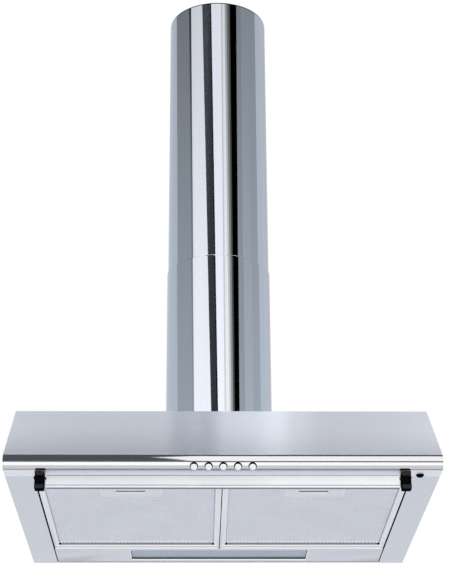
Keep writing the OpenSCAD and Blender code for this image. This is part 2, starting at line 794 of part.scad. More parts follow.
// The scroll as a solid whose floor steps up over the lamp tray, drawn smaller by off
module scroll_solid(off, top) difference() {
    translate([0, 0, blower_low + off]) linear_extrude(top - blower_low - off) scroll_2d(off);
    block([-half_w, tray_y0 - tray_clear - off, 0], [half_w, cut, tray_h + tray_clear + off]);
}

module blower_housing() hung() color(inner_grey) difference() {
    scroll_solid(0, lid_low);
    scroll_solid(sheet, lid_low + cut);
    at_blower() sheet_bore(inlet_r, blower_low);
}

module blower_lid() hung() color(inner_grey) difference() {
    translate([0, 0, lid_low]) linear_extrude(sheet) scroll_2d(0);
    at_chimney() sheet_bore(duct_in_r, lid_low);
    for (p = spacer_places) translate(p) sheet_bore(screw_r + screw_gap, lid_low);
    motor_screw_places() sheet_bore(screw_r + screw_gap, lid_low);
}

module blower_spacers() hung() color(galvanised) for (p = spacer_places) translate(p)
    tube(spacer_r, screw_r + screw_gap, lid_top, lid_gap);

module blower_screws() hung() color(bright) for (p = spacer_places)
    translate([p[0], p[1], canopy_h]) screw_down(screw_r, canopy_h - lid_low + spacer_screw_in);

module motor_screw_places() at_blower() for (a = [90, 210, 330]) rotate([0, 0, a])
    translate([motor_screw_r, 0, 0]) children();

module motor() hung() color("dimgray") difference() {
    at_blower() translate([0, 0, motor_low]) {
        cylinder(r = motor_r, h = motor_h - 5);
        cylinder(r = motor_neck_r, h = motor_h);
    }
    at_blower() translate([0, 0, motor_low - cut]) cylinder(r = shaft_r + pin_gap, h = shaft_in + 2 * cut);
    motor_screw_places() translate([0, 0, lid_low - motor_screw_l - cut])
        cylinder(r = screw_r + pin_gap, h = motor_screw_l + 2 * cut);
}

module motor_screws() hung() color(bright) motor_screw_places() translate([0, 0, lid_top])
    screw_down(screw_r, sheet + motor_screw_l);

module motor_shaft() hung() color(bright) at_blower() translate([0, 0, shaft_low])
    cylinder(r = shaft_r, h = motor_low - shaft_low + shaft_in);

module impeller() hung() color(black) at_blower() difference() {
    union() {
        translate([0, 0, hub_top - plate_t]) cylinder(r = impeller_r, h = plate_t);
        translate([0, 0, shaft_low]) cylinder(r = shaft_r + 6, h = hub_l);
        tube(impeller_r, blade_in_r, blade_low, plate_t);
        for (i = [1:blade_n]) rotate([0, 0, i * 360 / blade_n]) translate([blade_in_r + 1, 0, blade_low])
            rotate([0, 0, blade_a]) cube([blade_l, blade_t, blade_h + plate_t]);
    }
    translate([0, 0, shaft_low - cut]) cylinder(r = shaft_r + 0.02, h = hub_l + 2 * cut);
}

// Duct collar with its damper
module collar_place(a) at_chimney() rotate([0, 0, a]) translate([collar_screw_r, 0, 0]) children();

module outlet_collar() hung() color(black) difference() {
    at_chimney() {
        tube(duct_r, duct_in_r, lid_top + seat_gap, canopy_h + duct_h - lid_top - seat_gap);
        tube(collar_flange_r, duct_in_r, canopy_h + seat_gap, collar_flange_t);
        tube(duct_r - 0.5, stop_r, damper_z - flap_t / 2 - run_gap - stop_t, stop_t);
    }
    for (a = collar_angles) collar_place(a) translate([0, 0, canopy_h - cut])
        cylinder(r = screw_r + seat_gap, h = collar_flange_t + 3 * cut);
    at_chimney() translate([0, 0, damper_z]) rod_x(damper_pin_r + pin_gap, -duct_r - cut, duct_r + cut);
}

module collar_screws() hung() color(bright) for (a = collar_angles) collar_place(a)
    translate([0, 0, canopy_h + seat_gap + collar_flange_t]) screw_down(screw_r, collar_screw_l);

module damper_pin() hung() color(bright) at_chimney() translate([0, 0, damper_z])
    rod_x(damper_pin_r, -duct_r + 0.5, duct_r - 0.5);

// One flap: a half disc with two knuckles on the pin, drawn for the rear half
module flap() difference() {
    union() {
        intersection() {
            translate([0, 0, -flap_t / 2]) cylinder(r = flap_r, h = flap_t);
            block([-flap_r, flap_root, -flap_t], [flap_r, flap_r, flap_t]);
        }
        for (x = knuckle_x) {
            rod_x(knuckle_r, x, x + knuckle_w);
            block([x, 0, -flap_t / 2], [x + knuckle_w, flap_root + cut, flap_t / 2]);
        }
    }
    rod_x(damper_pin_r + pin_gap, -duct_r, duct_r);
}

module damper_flap_rear() hung() color(inner_grey) at_chimney() translate([0, 0, damper_z]) flap();

module damper_flap_front() hung() color(inner_grey) at_chimney() translate([0, 0, damper_z])
    rotate([0, 0, 180]) flap();

// Electrical parts under the flat top
module at_capacitor(y) translate([capacitor_x, y, capacitor_z]) children();

module capacitor() hung() color("whitesmoke") at_capacitor(capacitor_y) rotate([-90, 0, 0])
    cylinder(r = capacitor_r, h = capacitor_l);

// Band round the capacitor on a plate with two feet under the flat top
module capacitor_clip() hung() color(galvanised)
    at_capacitor(capacitor_y + (capacitor_l - band_w) / 2) difference() {
        union() {
            rotate([-90, 0, 0]) cylinder(r = band_in_r + band_t, h = band_w);
            block([-capacitor_r - band_foot, 0, band_plate[0]],
                [capacitor_r + band_foot, band_w, band_plate[1]]);
        }
        translate([0, -cut, 0]) rotate([-90, 0, 0]) cylinder(r = band_in_r, h = band_w + 2 * cut);
    }

module junction_box() hung() color(black) difference() {
    translate([box_x, -sheet, top_in]) block([-box_w / 2, -box_d, -box_h], [box_w / 2, 0, 0]);
    translate([box_x, -sheet, top_in])
        block([-box_w / 2 + box_t, -box_d + box_t, -box_h - cut], [box_w / 2 - box_t, -box_t, -box_t]);
    translate([box_x, gland_y, top_in - box_t - cut]) cylinder(r = gland_r + screw_gap, h = box_t + 2 * cut);
}

module junction_lid() hung() color(black) translate([box_x, -sheet, top_in - box_h])
    block([-box_w / 2, -box_d, -box_t], [box_w / 2, 0, 0]);

// Gland for the mains cord: a flanged sleeve through the flat top into the junction box
module cable_gland() hung() color(black) translate([box_x, gland_y, 0]) difference() {
    union() {
        translate([0, 0, gland_low]) cylinder(r = gland_r, h = canopy_h - gland_low + gland_flange_h / 2);
        translate([0, 0, canopy_h]) cylinder(r = gland_r + gland_flange, h = gland_flange_h);
        translate([0, 0, canopy_h + gland_flange_h])
            cylinder(r1 = gland_r + 1, r2 = gland_r - 1, h = gland_cone_h);
    }
    translate([0, 0, gland_low - cut]) cylinder(r = gland_bore / 2, h = gland_top - gland_low + 2 * cut);
}

// Small plug in the right end of the front lip
module strip_plug() hung() color(black) translate([plug_x, plug_y, 0]) {
    translate([0, 0, -plug_flange_h]) cylinder(r = plug_r + 2.35, h = plug_flange_h);
    translate([0, 0, plug_low]) cylinder(r = plug_r + 0.95, h = -plug_low - plug_flange_h / 2);
    translate([0, 0, -0.5]) cylinder(r = plug_r, h = 4);
}

top_panel();
front_panel();
cheek_left();
cheek_right();
back_panel();
chimney_lower();
chimney_clips();
chimney_screws();
chimney_upper();
chimney_bracket();
visor_bar();
visor_pins();
visor_bracket_left();
visor_bracket_right();
visor_screws();
button(1);  // button_1
button(2);  // button_2
button(3);  // button_3
button(4);  // button_4
button(5);  // button_5
switch_housing();
filter_frame_left();
filter_mesh_left();
filter_latch_left();
filter_frame_right();
filter_mesh_right();
filter_latch_right();
lamp_panel();
lamp_panel_rivets();
lamp_lens();
lamp_tray();
lampholder_left();
lampholder_right();
bulb_left();
bulb_right();
blower_housing();
blower_lid();
blower_spacers();
blower_screws();
motor();
motor_screws();
motor_shaft();
impeller();
outlet_collar();
collar_screws();
damper_pin();
damper_flap_front();
damper_flap_rear();
capacitor();
capacitor_clip();
junction_box();
junction_lid();
cable_gland();
strip_plug();
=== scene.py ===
import math
import bmesh
import bpy
from mathutils import Matrix, Vector


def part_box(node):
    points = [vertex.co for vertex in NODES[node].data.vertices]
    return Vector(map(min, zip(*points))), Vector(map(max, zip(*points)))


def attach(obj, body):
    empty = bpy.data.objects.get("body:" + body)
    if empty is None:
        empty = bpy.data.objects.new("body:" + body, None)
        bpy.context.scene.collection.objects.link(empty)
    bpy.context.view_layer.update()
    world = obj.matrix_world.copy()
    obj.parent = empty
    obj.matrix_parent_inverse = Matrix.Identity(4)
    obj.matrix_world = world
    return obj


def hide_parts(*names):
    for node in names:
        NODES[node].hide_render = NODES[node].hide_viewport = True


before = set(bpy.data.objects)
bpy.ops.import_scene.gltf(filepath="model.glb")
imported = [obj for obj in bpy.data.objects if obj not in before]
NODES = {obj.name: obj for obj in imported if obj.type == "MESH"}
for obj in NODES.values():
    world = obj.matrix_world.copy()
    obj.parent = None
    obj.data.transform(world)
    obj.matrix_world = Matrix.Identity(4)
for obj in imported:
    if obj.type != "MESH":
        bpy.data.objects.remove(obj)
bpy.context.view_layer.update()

MM = 0.001

# Places read from the frame, in metres: the wall is at y = 0
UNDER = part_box("front_panel")[0].z
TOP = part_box("front_panel")[1].z
NOSE_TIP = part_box("front_panel")[0].y
HALF_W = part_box("front_panel")[1].x
SLOPE_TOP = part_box("top_panel")[0].y
CHIMNEY_LOW, CHIMNEY_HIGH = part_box("chimney_lower")
CHIMNEY_Y = (CHIMNEY_LOW.y + CHIMNEY_HIGH.y) / 2

# Sizes of the front panel's sheet, in metres
SHEET = 1 * MM
LIP = 28 * MM
NOSE_R = 10.75 * MM
NOSE_Y = NOSE_TIP + NOSE_R

# Sizes that the pieces share, in millimetres: x from the middle, y from the wall, z from the underside
NOSE_MM = NOSE_Y / MM
LIP_MM = NOSE_MM + LIP / MM
SHEET_NOSE_R = 11.8
SHEET_NOSE_Y = NOSE_TIP / MM + SHEET_NOSE_R
BUTTON_PITCH = 20
BUTTON_X = [(i - 2) * BUTTON_PITCH for i in range(5)]
BUTTON_HOLE_R = 5.75
BUTTON_LOW = 5.75
RIM_X = 261
RIM_H = 14
VISOR_LIP = 1.7
VISOR_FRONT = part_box("visor_bar")[0].y / MM + VISOR_LIP
VISOR_TOP = (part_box("visor_bar")[1].z - UNDER) / MM
VISOR_H = (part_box("visor_bar")[1].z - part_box("visor_bar")[0].z) / MM
VISOR_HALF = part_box("visor_bar")[1].x / MM
BRACKET_X0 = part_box("visor_bracket_right")[0].x / MM
BRACKET_X1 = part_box("visor_bracket_right")[1].x / MM
FRAME_SIDE = 9.6
FILTER_LAP = 5
FOLD_Z = (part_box("filter_mesh_right")[1].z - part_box("filter_frame_right")[0].z) / MM + 0.1
MESH_END, HEM_END, GAP_END = -127.5, -118.5, -110.6
HEM_PITCH = 5.6
# Width of the black strip in the seam beside the cheek: painted shade
SEAM_SHADE_WIDTH = 2.0
LATCH_W, LATCH_L, PLATE_T = 83, 96, 1.4
SLOT_W, SLOT_L, SLOT_Y = 41, 8, 65
PLUG_X = (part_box("strip_plug")[0].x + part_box("strip_plug")[1].x) / 2 / MM
PLUG_Y = (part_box("strip_plug")[0].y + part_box("strip_plug")[1].y) / 2 / MM


# Node trees
def new_material(name, base, metallic, roughness, **sockets):
    """A material with a Principled shader whose constants sit on its own sockets."""
    material = bpy.data.materials.new(name)
    material.use_nodes = True
    shader = material.node_tree.nodes["Principled BSDF"]
    shader.inputs["Base Color"].default_value = (*base, 1)
    shader.inputs["Metallic"].default_value = metallic
    shader.inputs["Roughness"].default_value = roughness
    for socket, value in sockets.items():
        shader.inputs[socket.replace("_", " ")].default_value = value
    return material, material.node_tree, shader


def add_node(tree, kind, **values):
    """A new node with the given settings."""
    node = tree.nodes.new(kind)
    for key, value in values.items():
        setattr(node, key, value)
    return node


def object_noise(tree, scale, detail=4, roughness=0.6):
    """Noise over the piece's own coordinates in metres, stretched by a scale for each axis."""
    place = add_node(tree, "ShaderNodeTexCoord")
    mapping = add_node(tree, "ShaderNodeMapping")
    mapping.inputs["Scale"].default_value = scale
    noise = add_node(tree, "ShaderNodeTexNoise")
    noise.inputs["Scale"].default_value = 1
    noise.inputs["Detail"].default_value = detail
    noise.inputs["Roughness"].default_value = roughness
    tree.links.new(place.outputs["Object"], mapping.inputs["Vector"])
    tree.links.new(mapping.outputs["Vector"], noise.inputs["Vector"])
    return noise.outputs["Fac"]


def ranged(tree, value, low, high, from_low=0.3, from_high=0.7):
    """A factor spread to the range low..high."""
    spread = add_node(tree, "ShaderNodeMapRange")
    spread.inputs["From Min"].default_value = from_low
    spread.inputs["From Max"].default_value = from_high
    spread.inputs["To Min"].default_value = low
    spread.inputs["To Max"].default_value = high
    tree.links.new(value, spread.inputs["Value"])
    return spread.outputs["Result"]


def mixed(tree, factor, first, second):
    """A colour between two colours."""
    mix = add_node(tree, "ShaderNodeMix", data_type="RGBA")
    mix.inputs["A"].default_value = (*first, 1)
    mix.inputs["B"].default_value = (*second, 1)
    tree.links.new(factor, mix.inputs["Factor"])
    return mix.outputs["Result"]


def add_bump(tree, shader, height, strength, distance):
    """Fine relief from a height, with a distance in metres."""
    bump = add_node(tree, "ShaderNodeBump")
    bump.inputs["Strength"].default_value = strength
    bump.inputs["Distance"].default_value = distance
    tree.links.new(height, bump.inputs["Height"])
    tree.links.new(bump.outputs["Normal"], shader.inputs["Normal"])


# Materials
def brushed_metal(name, dark, light, rough, grain, anisotropy=0.0):
    """Metal with fine lines along one axis: grain holds the noise scale for each axis."""
    material, tree, shader = new_material(name, light, 1, sum(rough) / 2, Anisotropic=anisotropy)
    lines = object_noise(tree, grain, detail=3, roughness=0.7)
    tree.links.new(mixed(tree, ranged(tree, lines, 0, 1), dark, light), shader.inputs["Base Color"])
    tree.links.new(ranged(tree, lines, *rough), shader.inputs["Roughness"])
    add_bump(tree, shader, lines, 0.12, 0.00002)
    if anisotropy:
        tangent = add_node(tree, "ShaderNodeTangent", direction_type="UV_MAP")
        tree.links.new(tangent.outputs["Tangent"], shader.inputs["Tangent"])
    return material


def galvanised_metal(name, dark, light, spangle, rough=(0.3, 0.5)):
    """Zinc coated sheet with crystals of the given size in metres."""
    material, tree, shader = new_material(name, light, 1, sum(rough) / 2)
    place = add_node(tree, "ShaderNodeTexCoord")
    cells = add_node(tree, "ShaderNodeTexVoronoi")
    cells.inputs["Scale"].default_value = 1 / spangle
    tree.links.new(place.outputs["Object"], cells.inputs["Vector"])
    tone = add_node(tree, "ShaderNodeSeparateColor")
    tree.links.new(cells.outputs["Color"], tone.inputs["Color"])
    factor = ranged(tree, tone.outputs["Red"], 0, 1, 0, 1)
    tree.links.new(mixed(tree, factor, dark, light), shader.inputs["Base Color"])
    tree.links.new(ranged(tree, tone.outputs["Green"], *rough, 0, 1), shader.inputs["Roughness"])
    add_bump(tree, shader, object_noise(tree, (300, 300, 300)), 0.1, 0.0001)
    return material


def grained_plastic(name, dark, light, rough, grain=900, strength=0.15, metallic=0.0, **sockets):
    """Moulded plastic, paint or ceramic: a fine grain in the surface and a slight change of tone."""
    material, tree, shader = new_material(name, light, metallic, sum(rough) / 2, **sockets)
    broad = object_noise(tree, (25, 25, 25))
    fine = object_noise(tree, (grain, grain, grain), detail=2)
    tree.links.new(mixed(tree, ranged(tree, broad, 0, 1), dark, light), shader.inputs["Base Color"])
    tree.links.new(ranged(tree, fine, *rough), shader.inputs["Roughness"])
    add_bump(tree, shader, fine, strength, 0.0001)
    return material


LINES_X = (4, 1800, 1800)
LINES_Z = (900, 900, 3)
EVEN = (60, 60, 60)
MATERIALS = {
    "steel": brushed_metal("steel", (0.44, 0.467, 0.53), (0.48, 0.507, 0.575), (0.26, 0.36), LINES_X),
    "chimney_steel": brushed_metal("chimney_steel", (0.60, 0.62, 0.66), (0.66, 0.68, 0.71),
                                   (0.03, 0.06), LINES_Z),
    "bright_steel": brushed_metal("bright_steel", (0.62, 0.63, 0.65), (0.70, 0.71, 0.72),
                                  (0.15, 0.28), EVEN),
    "galvanised": galvanised_metal("galvanised", (0.42, 0.44, 0.46), (0.56, 0.58, 0.60), 0.009),
    "zinc_sheet": galvanised_metal("zinc_sheet", (0.36, 0.37, 0.39), (0.50, 0.51, 0.53), 0.014),
    "frame_aluminium": brushed_metal("frame_aluminium", (0.56, 0.585, 0.645), (0.63, 0.655, 0.715),
                                     (0.28, 0.40), LINES_X),
    "mesh_aluminium": grained_plastic("mesh_aluminium", (0.725, 0.745, 0.815), (0.765, 0.785, 0.855),
                                      (0.35, 0.5), grain=500, metallic=0.7),
    "black_plastic": grained_plastic("black_plastic", (0.003, 0.003, 0.0035), (0.006, 0.006, 0.007),
                                     (0.30, 0.42), Specular_IOR_Level=0.12),
    "white_plastic": grained_plastic("white_plastic", (0.80, 0.80, 0.79), (0.86, 0.86, 0.85),
                                     (0.18, 0.26), strength=0.05),
    "ceramic": grained_plastic("ceramic", (0.74, 0.71, 0.62), (0.80, 0.77, 0.69), (0.25, 0.4)),
    "lens_glass": grained_plastic("lens_glass", (0.19, 0.26, 0.36), (0.23, 0.305, 0.40), (0.2, 0.3),
                                  grain=1500, strength=0.1),
    "bulb_glass": grained_plastic("bulb_glass", (0.84, 0.83, 0.79), (0.88, 0.87, 0.84), (0.15, 0.22),
                                  strength=0.02),
    "motor_paint": grained_plastic("motor_paint", (0.10, 0.10, 0.11), (0.14, 0.14, 0.15), (0.4, 0.55),
                                   metallic=0.3),
}

STEEL_TONES = (0.46, 0.485, 0.55), (0.50, 0.525, 0.595)
# Near-black steel for the upper tube's top rim: painted shade, a dark line along its edge
RIM_SHADE_FINISH = brushed_metal("rim_finish", (0.05, 0.055, 0.06), (0.07, 0.075, 0.08), (0.05, 0.1),
                           LINES_Z)
SLOPE_FINISH = brushed_metal("slope_finish", *STEEL_TONES, (0.26, 0.34), LINES_X, anisotropy=0.9)
NOSE_FINISH = brushed_metal("nose_finish", *STEEL_TONES, (0.10, 0.16), LINES_X, anisotropy=0.6)
# The lip is the same steel as the slope and the nose: its lighter tone is painted light on the underside,
# its higher roughness is its finish
LIT_LIP_FINISH = brushed_metal("lip_lit_steel", (0.60, 0.63, 0.70), (0.66, 0.69, 0.76), (0.34, 0.42), LINES_X,
                           anisotropy=0.6)
VISOR_FINISH = grained_plastic("visor_finish", (0.79, 0.81, 0.85), (0.82, 0.84, 0.88), (0.4, 0.5),
                               metallic=0.08)
# Dull black: the own colour of the visor brackets and the plug, and painted shade on the button holes'
# walls, the button skirts, the filters' outer walls, corner notches and seam strips, and round the lens
BLACK_AND_SHADE_FINISH = grained_plastic("black_finish", (0.002, 0.002, 0.0024), (0.004, 0.004, 0.0046),
                               (0.5, 0.6), Specular_IOR_Level=0.0)
# A lighter black for chosen faces of the black brackets: painted highlight; its slight gloss is real
BLACK_HIGHLIGHT_FINISH = grained_plastic("black_with_highlight", (0.012, 0.014, 0.016), (0.02, 0.022, 0.025),
                                    (0.4, 0.5), Specular_IOR_Level=0.1)
PIN_FINISH = grained_plastic("pin_finish", (0.02, 0.02, 0.022), (0.03, 0.03, 0.034), (0.5, 0.6),
                             metallic=0.4)
# Dark grey for the groove and underside of the visor bar and the floor of the latch slot: painted shade
DARK_SHADE_FINISH = grained_plastic("dark_grey_shade", (0.10, 0.11, 0.12), (0.16, 0.17, 0.18), (0.4, 0.5),
                              metallic=0.3)
# Mid grey for thin lines at the visor's edges and groove, the filters' inner edges and rear strip, and
# the rear edge of the lamp panel: painted shade lines
SHADE_LINE_FINISH = grained_plastic("grey_shade_line", (0.31, 0.33, 0.375), (0.37, 0.39, 0.435), (0.35, 0.5),
                              metallic=0.3)
PLATE_FINISH = brushed_metal("plate_finish", (0.49, 0.51, 0.57), (0.55, 0.57, 0.63), (0.28, 0.40),
                             LINES_X)
# Near white for beads and rounded edges of the aluminium and steel parts: painted highlight
HIGHLIGHT_FINISH = grained_plastic("white_highlight", (0.95, 0.955, 0.965), (0.97, 0.975, 0.98), (0.3, 0.45))
CAP_FINISH = grained_plastic("cap_finish", (0.93, 0.93, 0.93), (0.96, 0.96, 0.96), (0.2, 0.3),
                             strength=0.03)
# HOLE marks the walls of the button holes, which take the black: painted shade
SLOPE, NOSE, FLAT, HOLE = range(4)
SHEET_FINISHES = [SLOPE_FINISH, NOSE_FINISH, LIT_LIP_FINISH, BLACK_AND_SHADE_FINISH]


def dress_cad_nodes():
    """Gives each CAD node the finish of its material slot, and the pins of the visor a black one."""
    for node in NODES.values():
        for place in node.material_slots:
            place.material = MATERIALS[place.material.name.split(".")[0]]
    for place in NODES["visor_pins"].material_slots:
        place.material = PIN_FINISH


# Mesh helpers
def at(x, y, z):
    """A point given in millimetres from the middle of the wall at the height of the underside."""
    return Vector((x * MM, y * MM, z * MM + UNDER))


def new_piece(name, mesh, body, slot, *replaced, materials=None):
    """A piece of the object that rides on a body and may stand for CAD nodes."""
    for material in materials or [MATERIALS[slot]]:
        mesh.materials.append(material)
    piece = bpy.data.objects.new(name, mesh)
    bpy.context.scene.collection.objects.link(piece)
    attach(piece, body)
    if replaced:
        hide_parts(*replaced)
    return piece


def finish_mesh(name, shape, angle=35):
    """A mesh from a bmesh, smooth but for edges sharper than the angle."""
    bmesh.ops.recalc_face_normals(shape, faces=shape.faces)
    mesh = bpy.data.meshes.new(name)
    shape.to_mesh(mesh)
    shape.free()
    for face in mesh.polygons:
        face.use_smooth = True
    mesh.set_sharp_from_angle(angle=math.radians(angle))
    return mesh


def prism(shape, outline, x0, x1, finishes=None):
    """A closed prism along X of (y, z) points in millimetres, with a finish for each side."""
    rings = [[shape.verts.new(at(x, p[0], p[1])) for p in outline] for x in (x0, x1)]
    count = len(outline)
    for i in range(count):
        k = (i + 1) % count
        side = shape.faces.new((rings[0][i], rings[0][k], rings[1][k], rings[1][i]))
        side.material_index = finishes[i] if finishes else 0
    shape.faces.new(rings[0][::-1])
    shape.faces.new(rings[1])


def slab(shape, low, high, finish=0):
    """A box between two corners in millimetres."""
    x0, y0, z0 = low
    x1, y1, z1 = high
    prism(shape, [(y0, z0), (y1, z0), (y1, z1), (y0, z1)], x0, x1, [finish] * 4)


BEAD_ROOT = 0.4


def ridge(shape, area, z, height, finish=0, steps=6):
    """A low round bead along X that hangs from the height z: area holds two corners in millimetres."""
    x0, y0, x1, y1 = area
    middle, half = (y0 + y1) / 2, (y1 - y0) / 2
    turns = [math.pi * k / steps for k in range(steps + 1)]
    round_side = [(middle - half * math.cos(turn), z - height * math.sin(turn)) for turn in turns]
    root = [(y1, z + BEAD_ROOT), (y0, z + BEAD_ROOT)]
    prism(shape, round_side + root, x0, x1, [finish] * (steps + 3))


def ring_stack(shape, rings, finishes):
    """A closed frame from rectangles (x0, y0, x1, y1, z) in millimetres, joined in turn."""
    loops = []
    for x0, y0, x1, y1, z in rings:
        corners = ((x0, y0), (x1, y0), (x1, y1), (x0, y1))
        loops.append([shape.verts.new(at(x, y, z)) for x, y in corners])
    for i, loop in enumerate(loops):
        after = loops[(i + 1) % len(loops)]
        for k in range(4):
            n = (k + 1) % 4
            face = shape.faces.new((loop[k], loop[n], after[n], after[k]))
            face.material_index = finishes[i]


def turned(shape, profile, frame_at, segments=48, finishes=None):
    """A turned piece: (radius, height) points in millimetres round the Z axis of a frame."""
    rings = []
    for radius, height in profile:
        if radius == 0:
            rings.append([shape.verts.new(frame_at @ Vector((0, 0, height * MM)))])
            continue
        rings.append([shape.verts.new(frame_at @ Vector((
            radius * MM * math.cos(math.tau * k / segments),
            radius * MM * math.sin(math.tau * k / segments), height * MM))) for k in range(segments)])
    for i, (low, high) in enumerate(zip(rings, rings[1:])):
        for k in range(segments):
            n = (k + 1) % segments
            corners = [low[k % len(low)], low[n % len(low)],
                       high[n % len(high)], high[k % len(high)]]
            face = shape.faces.new(list(dict.fromkeys(corners)))
            if finishes:
                face.material_index = finishes[i]
    for ring in (rings[0], rings[-1]):
        if len(ring) > 1:
            shape.faces.new(ring)


def weighted(piece):
    """Keeps the flat faces flat beside their round edges."""
    modifier = piece.modifiers.new("normals", "WEIGHTED_NORMAL")
    modifier.keep_sharp = True


# Camera, floor and light: metres, and degrees for the camera's turns
CAMERA_PLACE = (-0.036875, -2.676655, -0.7753)
CAMERA_YAW, CAMERA_PITCH, CAMERA_ROLL = 1.0425, 24.04, -0.281
CAMERA_LENS, CAMERA_SENSOR, CAMERA_END = 104.37, 36, 60
FLOOR_DROP, FLOOR_HALF = 1.6, 9


def place_camera():
    """The photograph's view: from below, a little left of the middle."""
    yaw, pitch, roll = (math.radians(turn) for turn in (CAMERA_YAW, CAMERA_PITCH, CAMERA_ROLL))
    forward = Vector((math.sin(yaw) * math.cos(pitch), math.cos(yaw) * math.cos(pitch), math.sin(pitch)))
    right = Vector((math.cos(yaw), -math.sin(yaw), 0))
    up = right.cross(forward)
    turned_right = math.cos(roll) * right + math.sin(roll) * up
    turned_up = math.cos(roll) * up - math.sin(roll) * right
    data = bpy.data.cameras.new("camera")
    data.lens = CAMERA_LENS
    data.sensor_width = CAMERA_SENSOR
    data.clip_end = CAMERA_END
    camera = bpy.data.objects.new("camera", data)
    turn = Matrix((turned_right, turned_up, -forward)).transposed().to_4x4()
    camera.matrix_world = Matrix.Translation(CAMERA_PLACE) @ turn
    bpy.context.scene.collection.objects.link(camera)
    bpy.context.scene.camera = camera


def light_paths(tree, *names):
    """1 on a ray of any of these kinds, and 0 on the others."""
    path = add_node(tree, "ShaderNodeLightPath")
    value = path.outputs[names[0]]
    for name in names[1:]:
        either = add_node(tree, "ShaderNodeMath", operation="MAXIMUM")
        tree.links.new(value, either.inputs[0])
        tree.links.new(path.outputs[name], either.inputs[1])
        value = either.outputs[0]
    return value


def make_world():
    """White where it is seen or mirrored, and a plain level where it lights the object."""
    world = bpy.data.worlds.new("world")
    world.use_nodes = True
    tree = world.node_tree
    ambient = tree.nodes["Background"]
    ambient.inputs["Color"].default_value = (0.72, 0.73, 0.75, 1)
    white = add_node(tree, "ShaderNodeBackground")
    white.inputs["Color"].default_value = (1, 1, 1, 1)
    mix = add_node(tree, "ShaderNodeMixShader")
    seen = light_paths(tree, "Is Camera Ray", "Is Glossy Ray", "Is Transmission Ray")
    tree.links.new(seen, mix.inputs["Fac"])
    tree.links.new(ambient.outputs[0], mix.inputs[1])
    tree.links.new(white.outputs[0], mix.inputs[2])
    tree.links.new(mix.outputs[0], tree.nodes["World Output"].inputs["Surface"])
    bpy.context.scene.world = world


def quad(name, corners, material, faces=None):
    """A sheet between corners in metres: one face, or the faces given."""
    mesh = bpy.data.meshes.new(name)
    mesh.from_pydata([Vector(c) for c in corners], [], faces or [tuple(range(len(corners)))])
    mesh.materials.append(material)
    piece = bpy.data.objects.new(name, mesh)
    bpy.context.scene.collection.objects.link(piece)
    return piece


def make_floor():
    """A pale floor as far below the hood as a kitchen's, which hides nothing from below."""
    material, tree, shader = new_material("floor", (0.84, 0.84, 0.84), 0, 0.6)
    tone = ranged(tree, object_noise(tree, (2, 2, 2)), 0, 1)
    tree.links.new(mixed(tree, tone, (0.82, 0.82, 0.82), (0.86, 0.86, 0.86)), shader.inputs["Base Color"])
    side = add_node(tree, "ShaderNodeNewGeometry")
    clear = add_node(tree, "ShaderNodeBsdfTransparent")
    mix = add_node(tree, "ShaderNodeMixShader")
    tree.links.new(side.outputs["Backfacing"], mix.inputs["Fac"])
    tree.links.new(shader.outputs[0], mix.inputs[1])
    tree.links.new(clear.outputs[0], mix.inputs[2])
    tree.links.new(mix.outputs[0], tree.nodes["Material Output"].inputs["Surface"])
    half, z = FLOOR_HALF, UNDER - FLOOR_DROP
    corners = [(-half, -half, z), (half, -half, z), (half, half, z), (-half, half, z)]
    floor = quad("floor", corners, material)


def emission(low, high, tint, span, reach):
    """Light from one level to another between two shares of a card's height, within its reach."""
    material = bpy.data.materials.new("card")
    material.use_nodes = True
    tree = material.node_tree
    tree.nodes.remove(tree.nodes["Principled BSDF"])
    glow = add_node(tree, "ShaderNodeEmission")
    glow.inputs["Color"].default_value = (*tint, 1)
    glow.inputs["Strength"].default_value = low
    if high != low:
        place = add_node(tree, "ShaderNodeTexCoord")
        split = add_node(tree, "ShaderNodeSeparateXYZ")
        tree.links.new(place.outputs["Generated"], split.inputs["Vector"])
        tree.links.new(ranged(tree, split.outputs["Z"], low, high, *span), glow.inputs["Strength"])
    shown = glow.outputs[0]
    if reach:
        path = add_node(tree, "ShaderNodeLightPath")
        beyond = add_node(tree, "ShaderNodeMath", operation="GREATER_THAN")
        beyond.inputs[1].default_value = reach
        tree.links.new(path.outputs["Ray Length"], beyond.inputs[0])
        clear = add_node(tree, "ShaderNodeBsdfTransparent")
        mix = add_node(tree, "ShaderNodeMixShader")
        tree.links.new(beyond.outputs[0], mix.inputs["Fac"])
        tree.links.new(shown, mix.inputs[1])
        tree.links.new(clear.outputs[0], mix.inputs[2])
        shown = mix.outputs[0]
    tree.links.new(shown, tree.nodes["Material Output"].inputs["Surface"])
    return material


PLAIN = (1, 1, 1)
COOL = (0.90, 0.99, 1.09)
PALE = (0.98, 0.99, 1.035)
LILAC = (0.97, 0.97, 1.05)


def card(name, corners, low, high=None, tint=PLAIN, span=(0, 1), reach=None, faces=None):
    """A studio card that shows in the metal alone."""
    material = emission(low, low if high is None else high, tint, span, reach)
    piece = quad(name, corners, material, faces)
    for kind in ("camera", "diffuse", "transmission", "shadow", "volume_scatter"):
        setattr(piece, "visible_" + kind, False)


# Heights of the tall cards: CARD_LOW and CARD_HIGH are those that the camera sees in the chimney
CARD_FOOT, CARD_LOW, CARD_HIGH, CARD_TOP = -1.6, 0.4, 1.73, 2.6
BACK_TOP, BAND_TOP, SKY_TOP = 1.76, 3.7, 6
CARD_GAP = 0.03
CARD_DISTANCE = 1.3


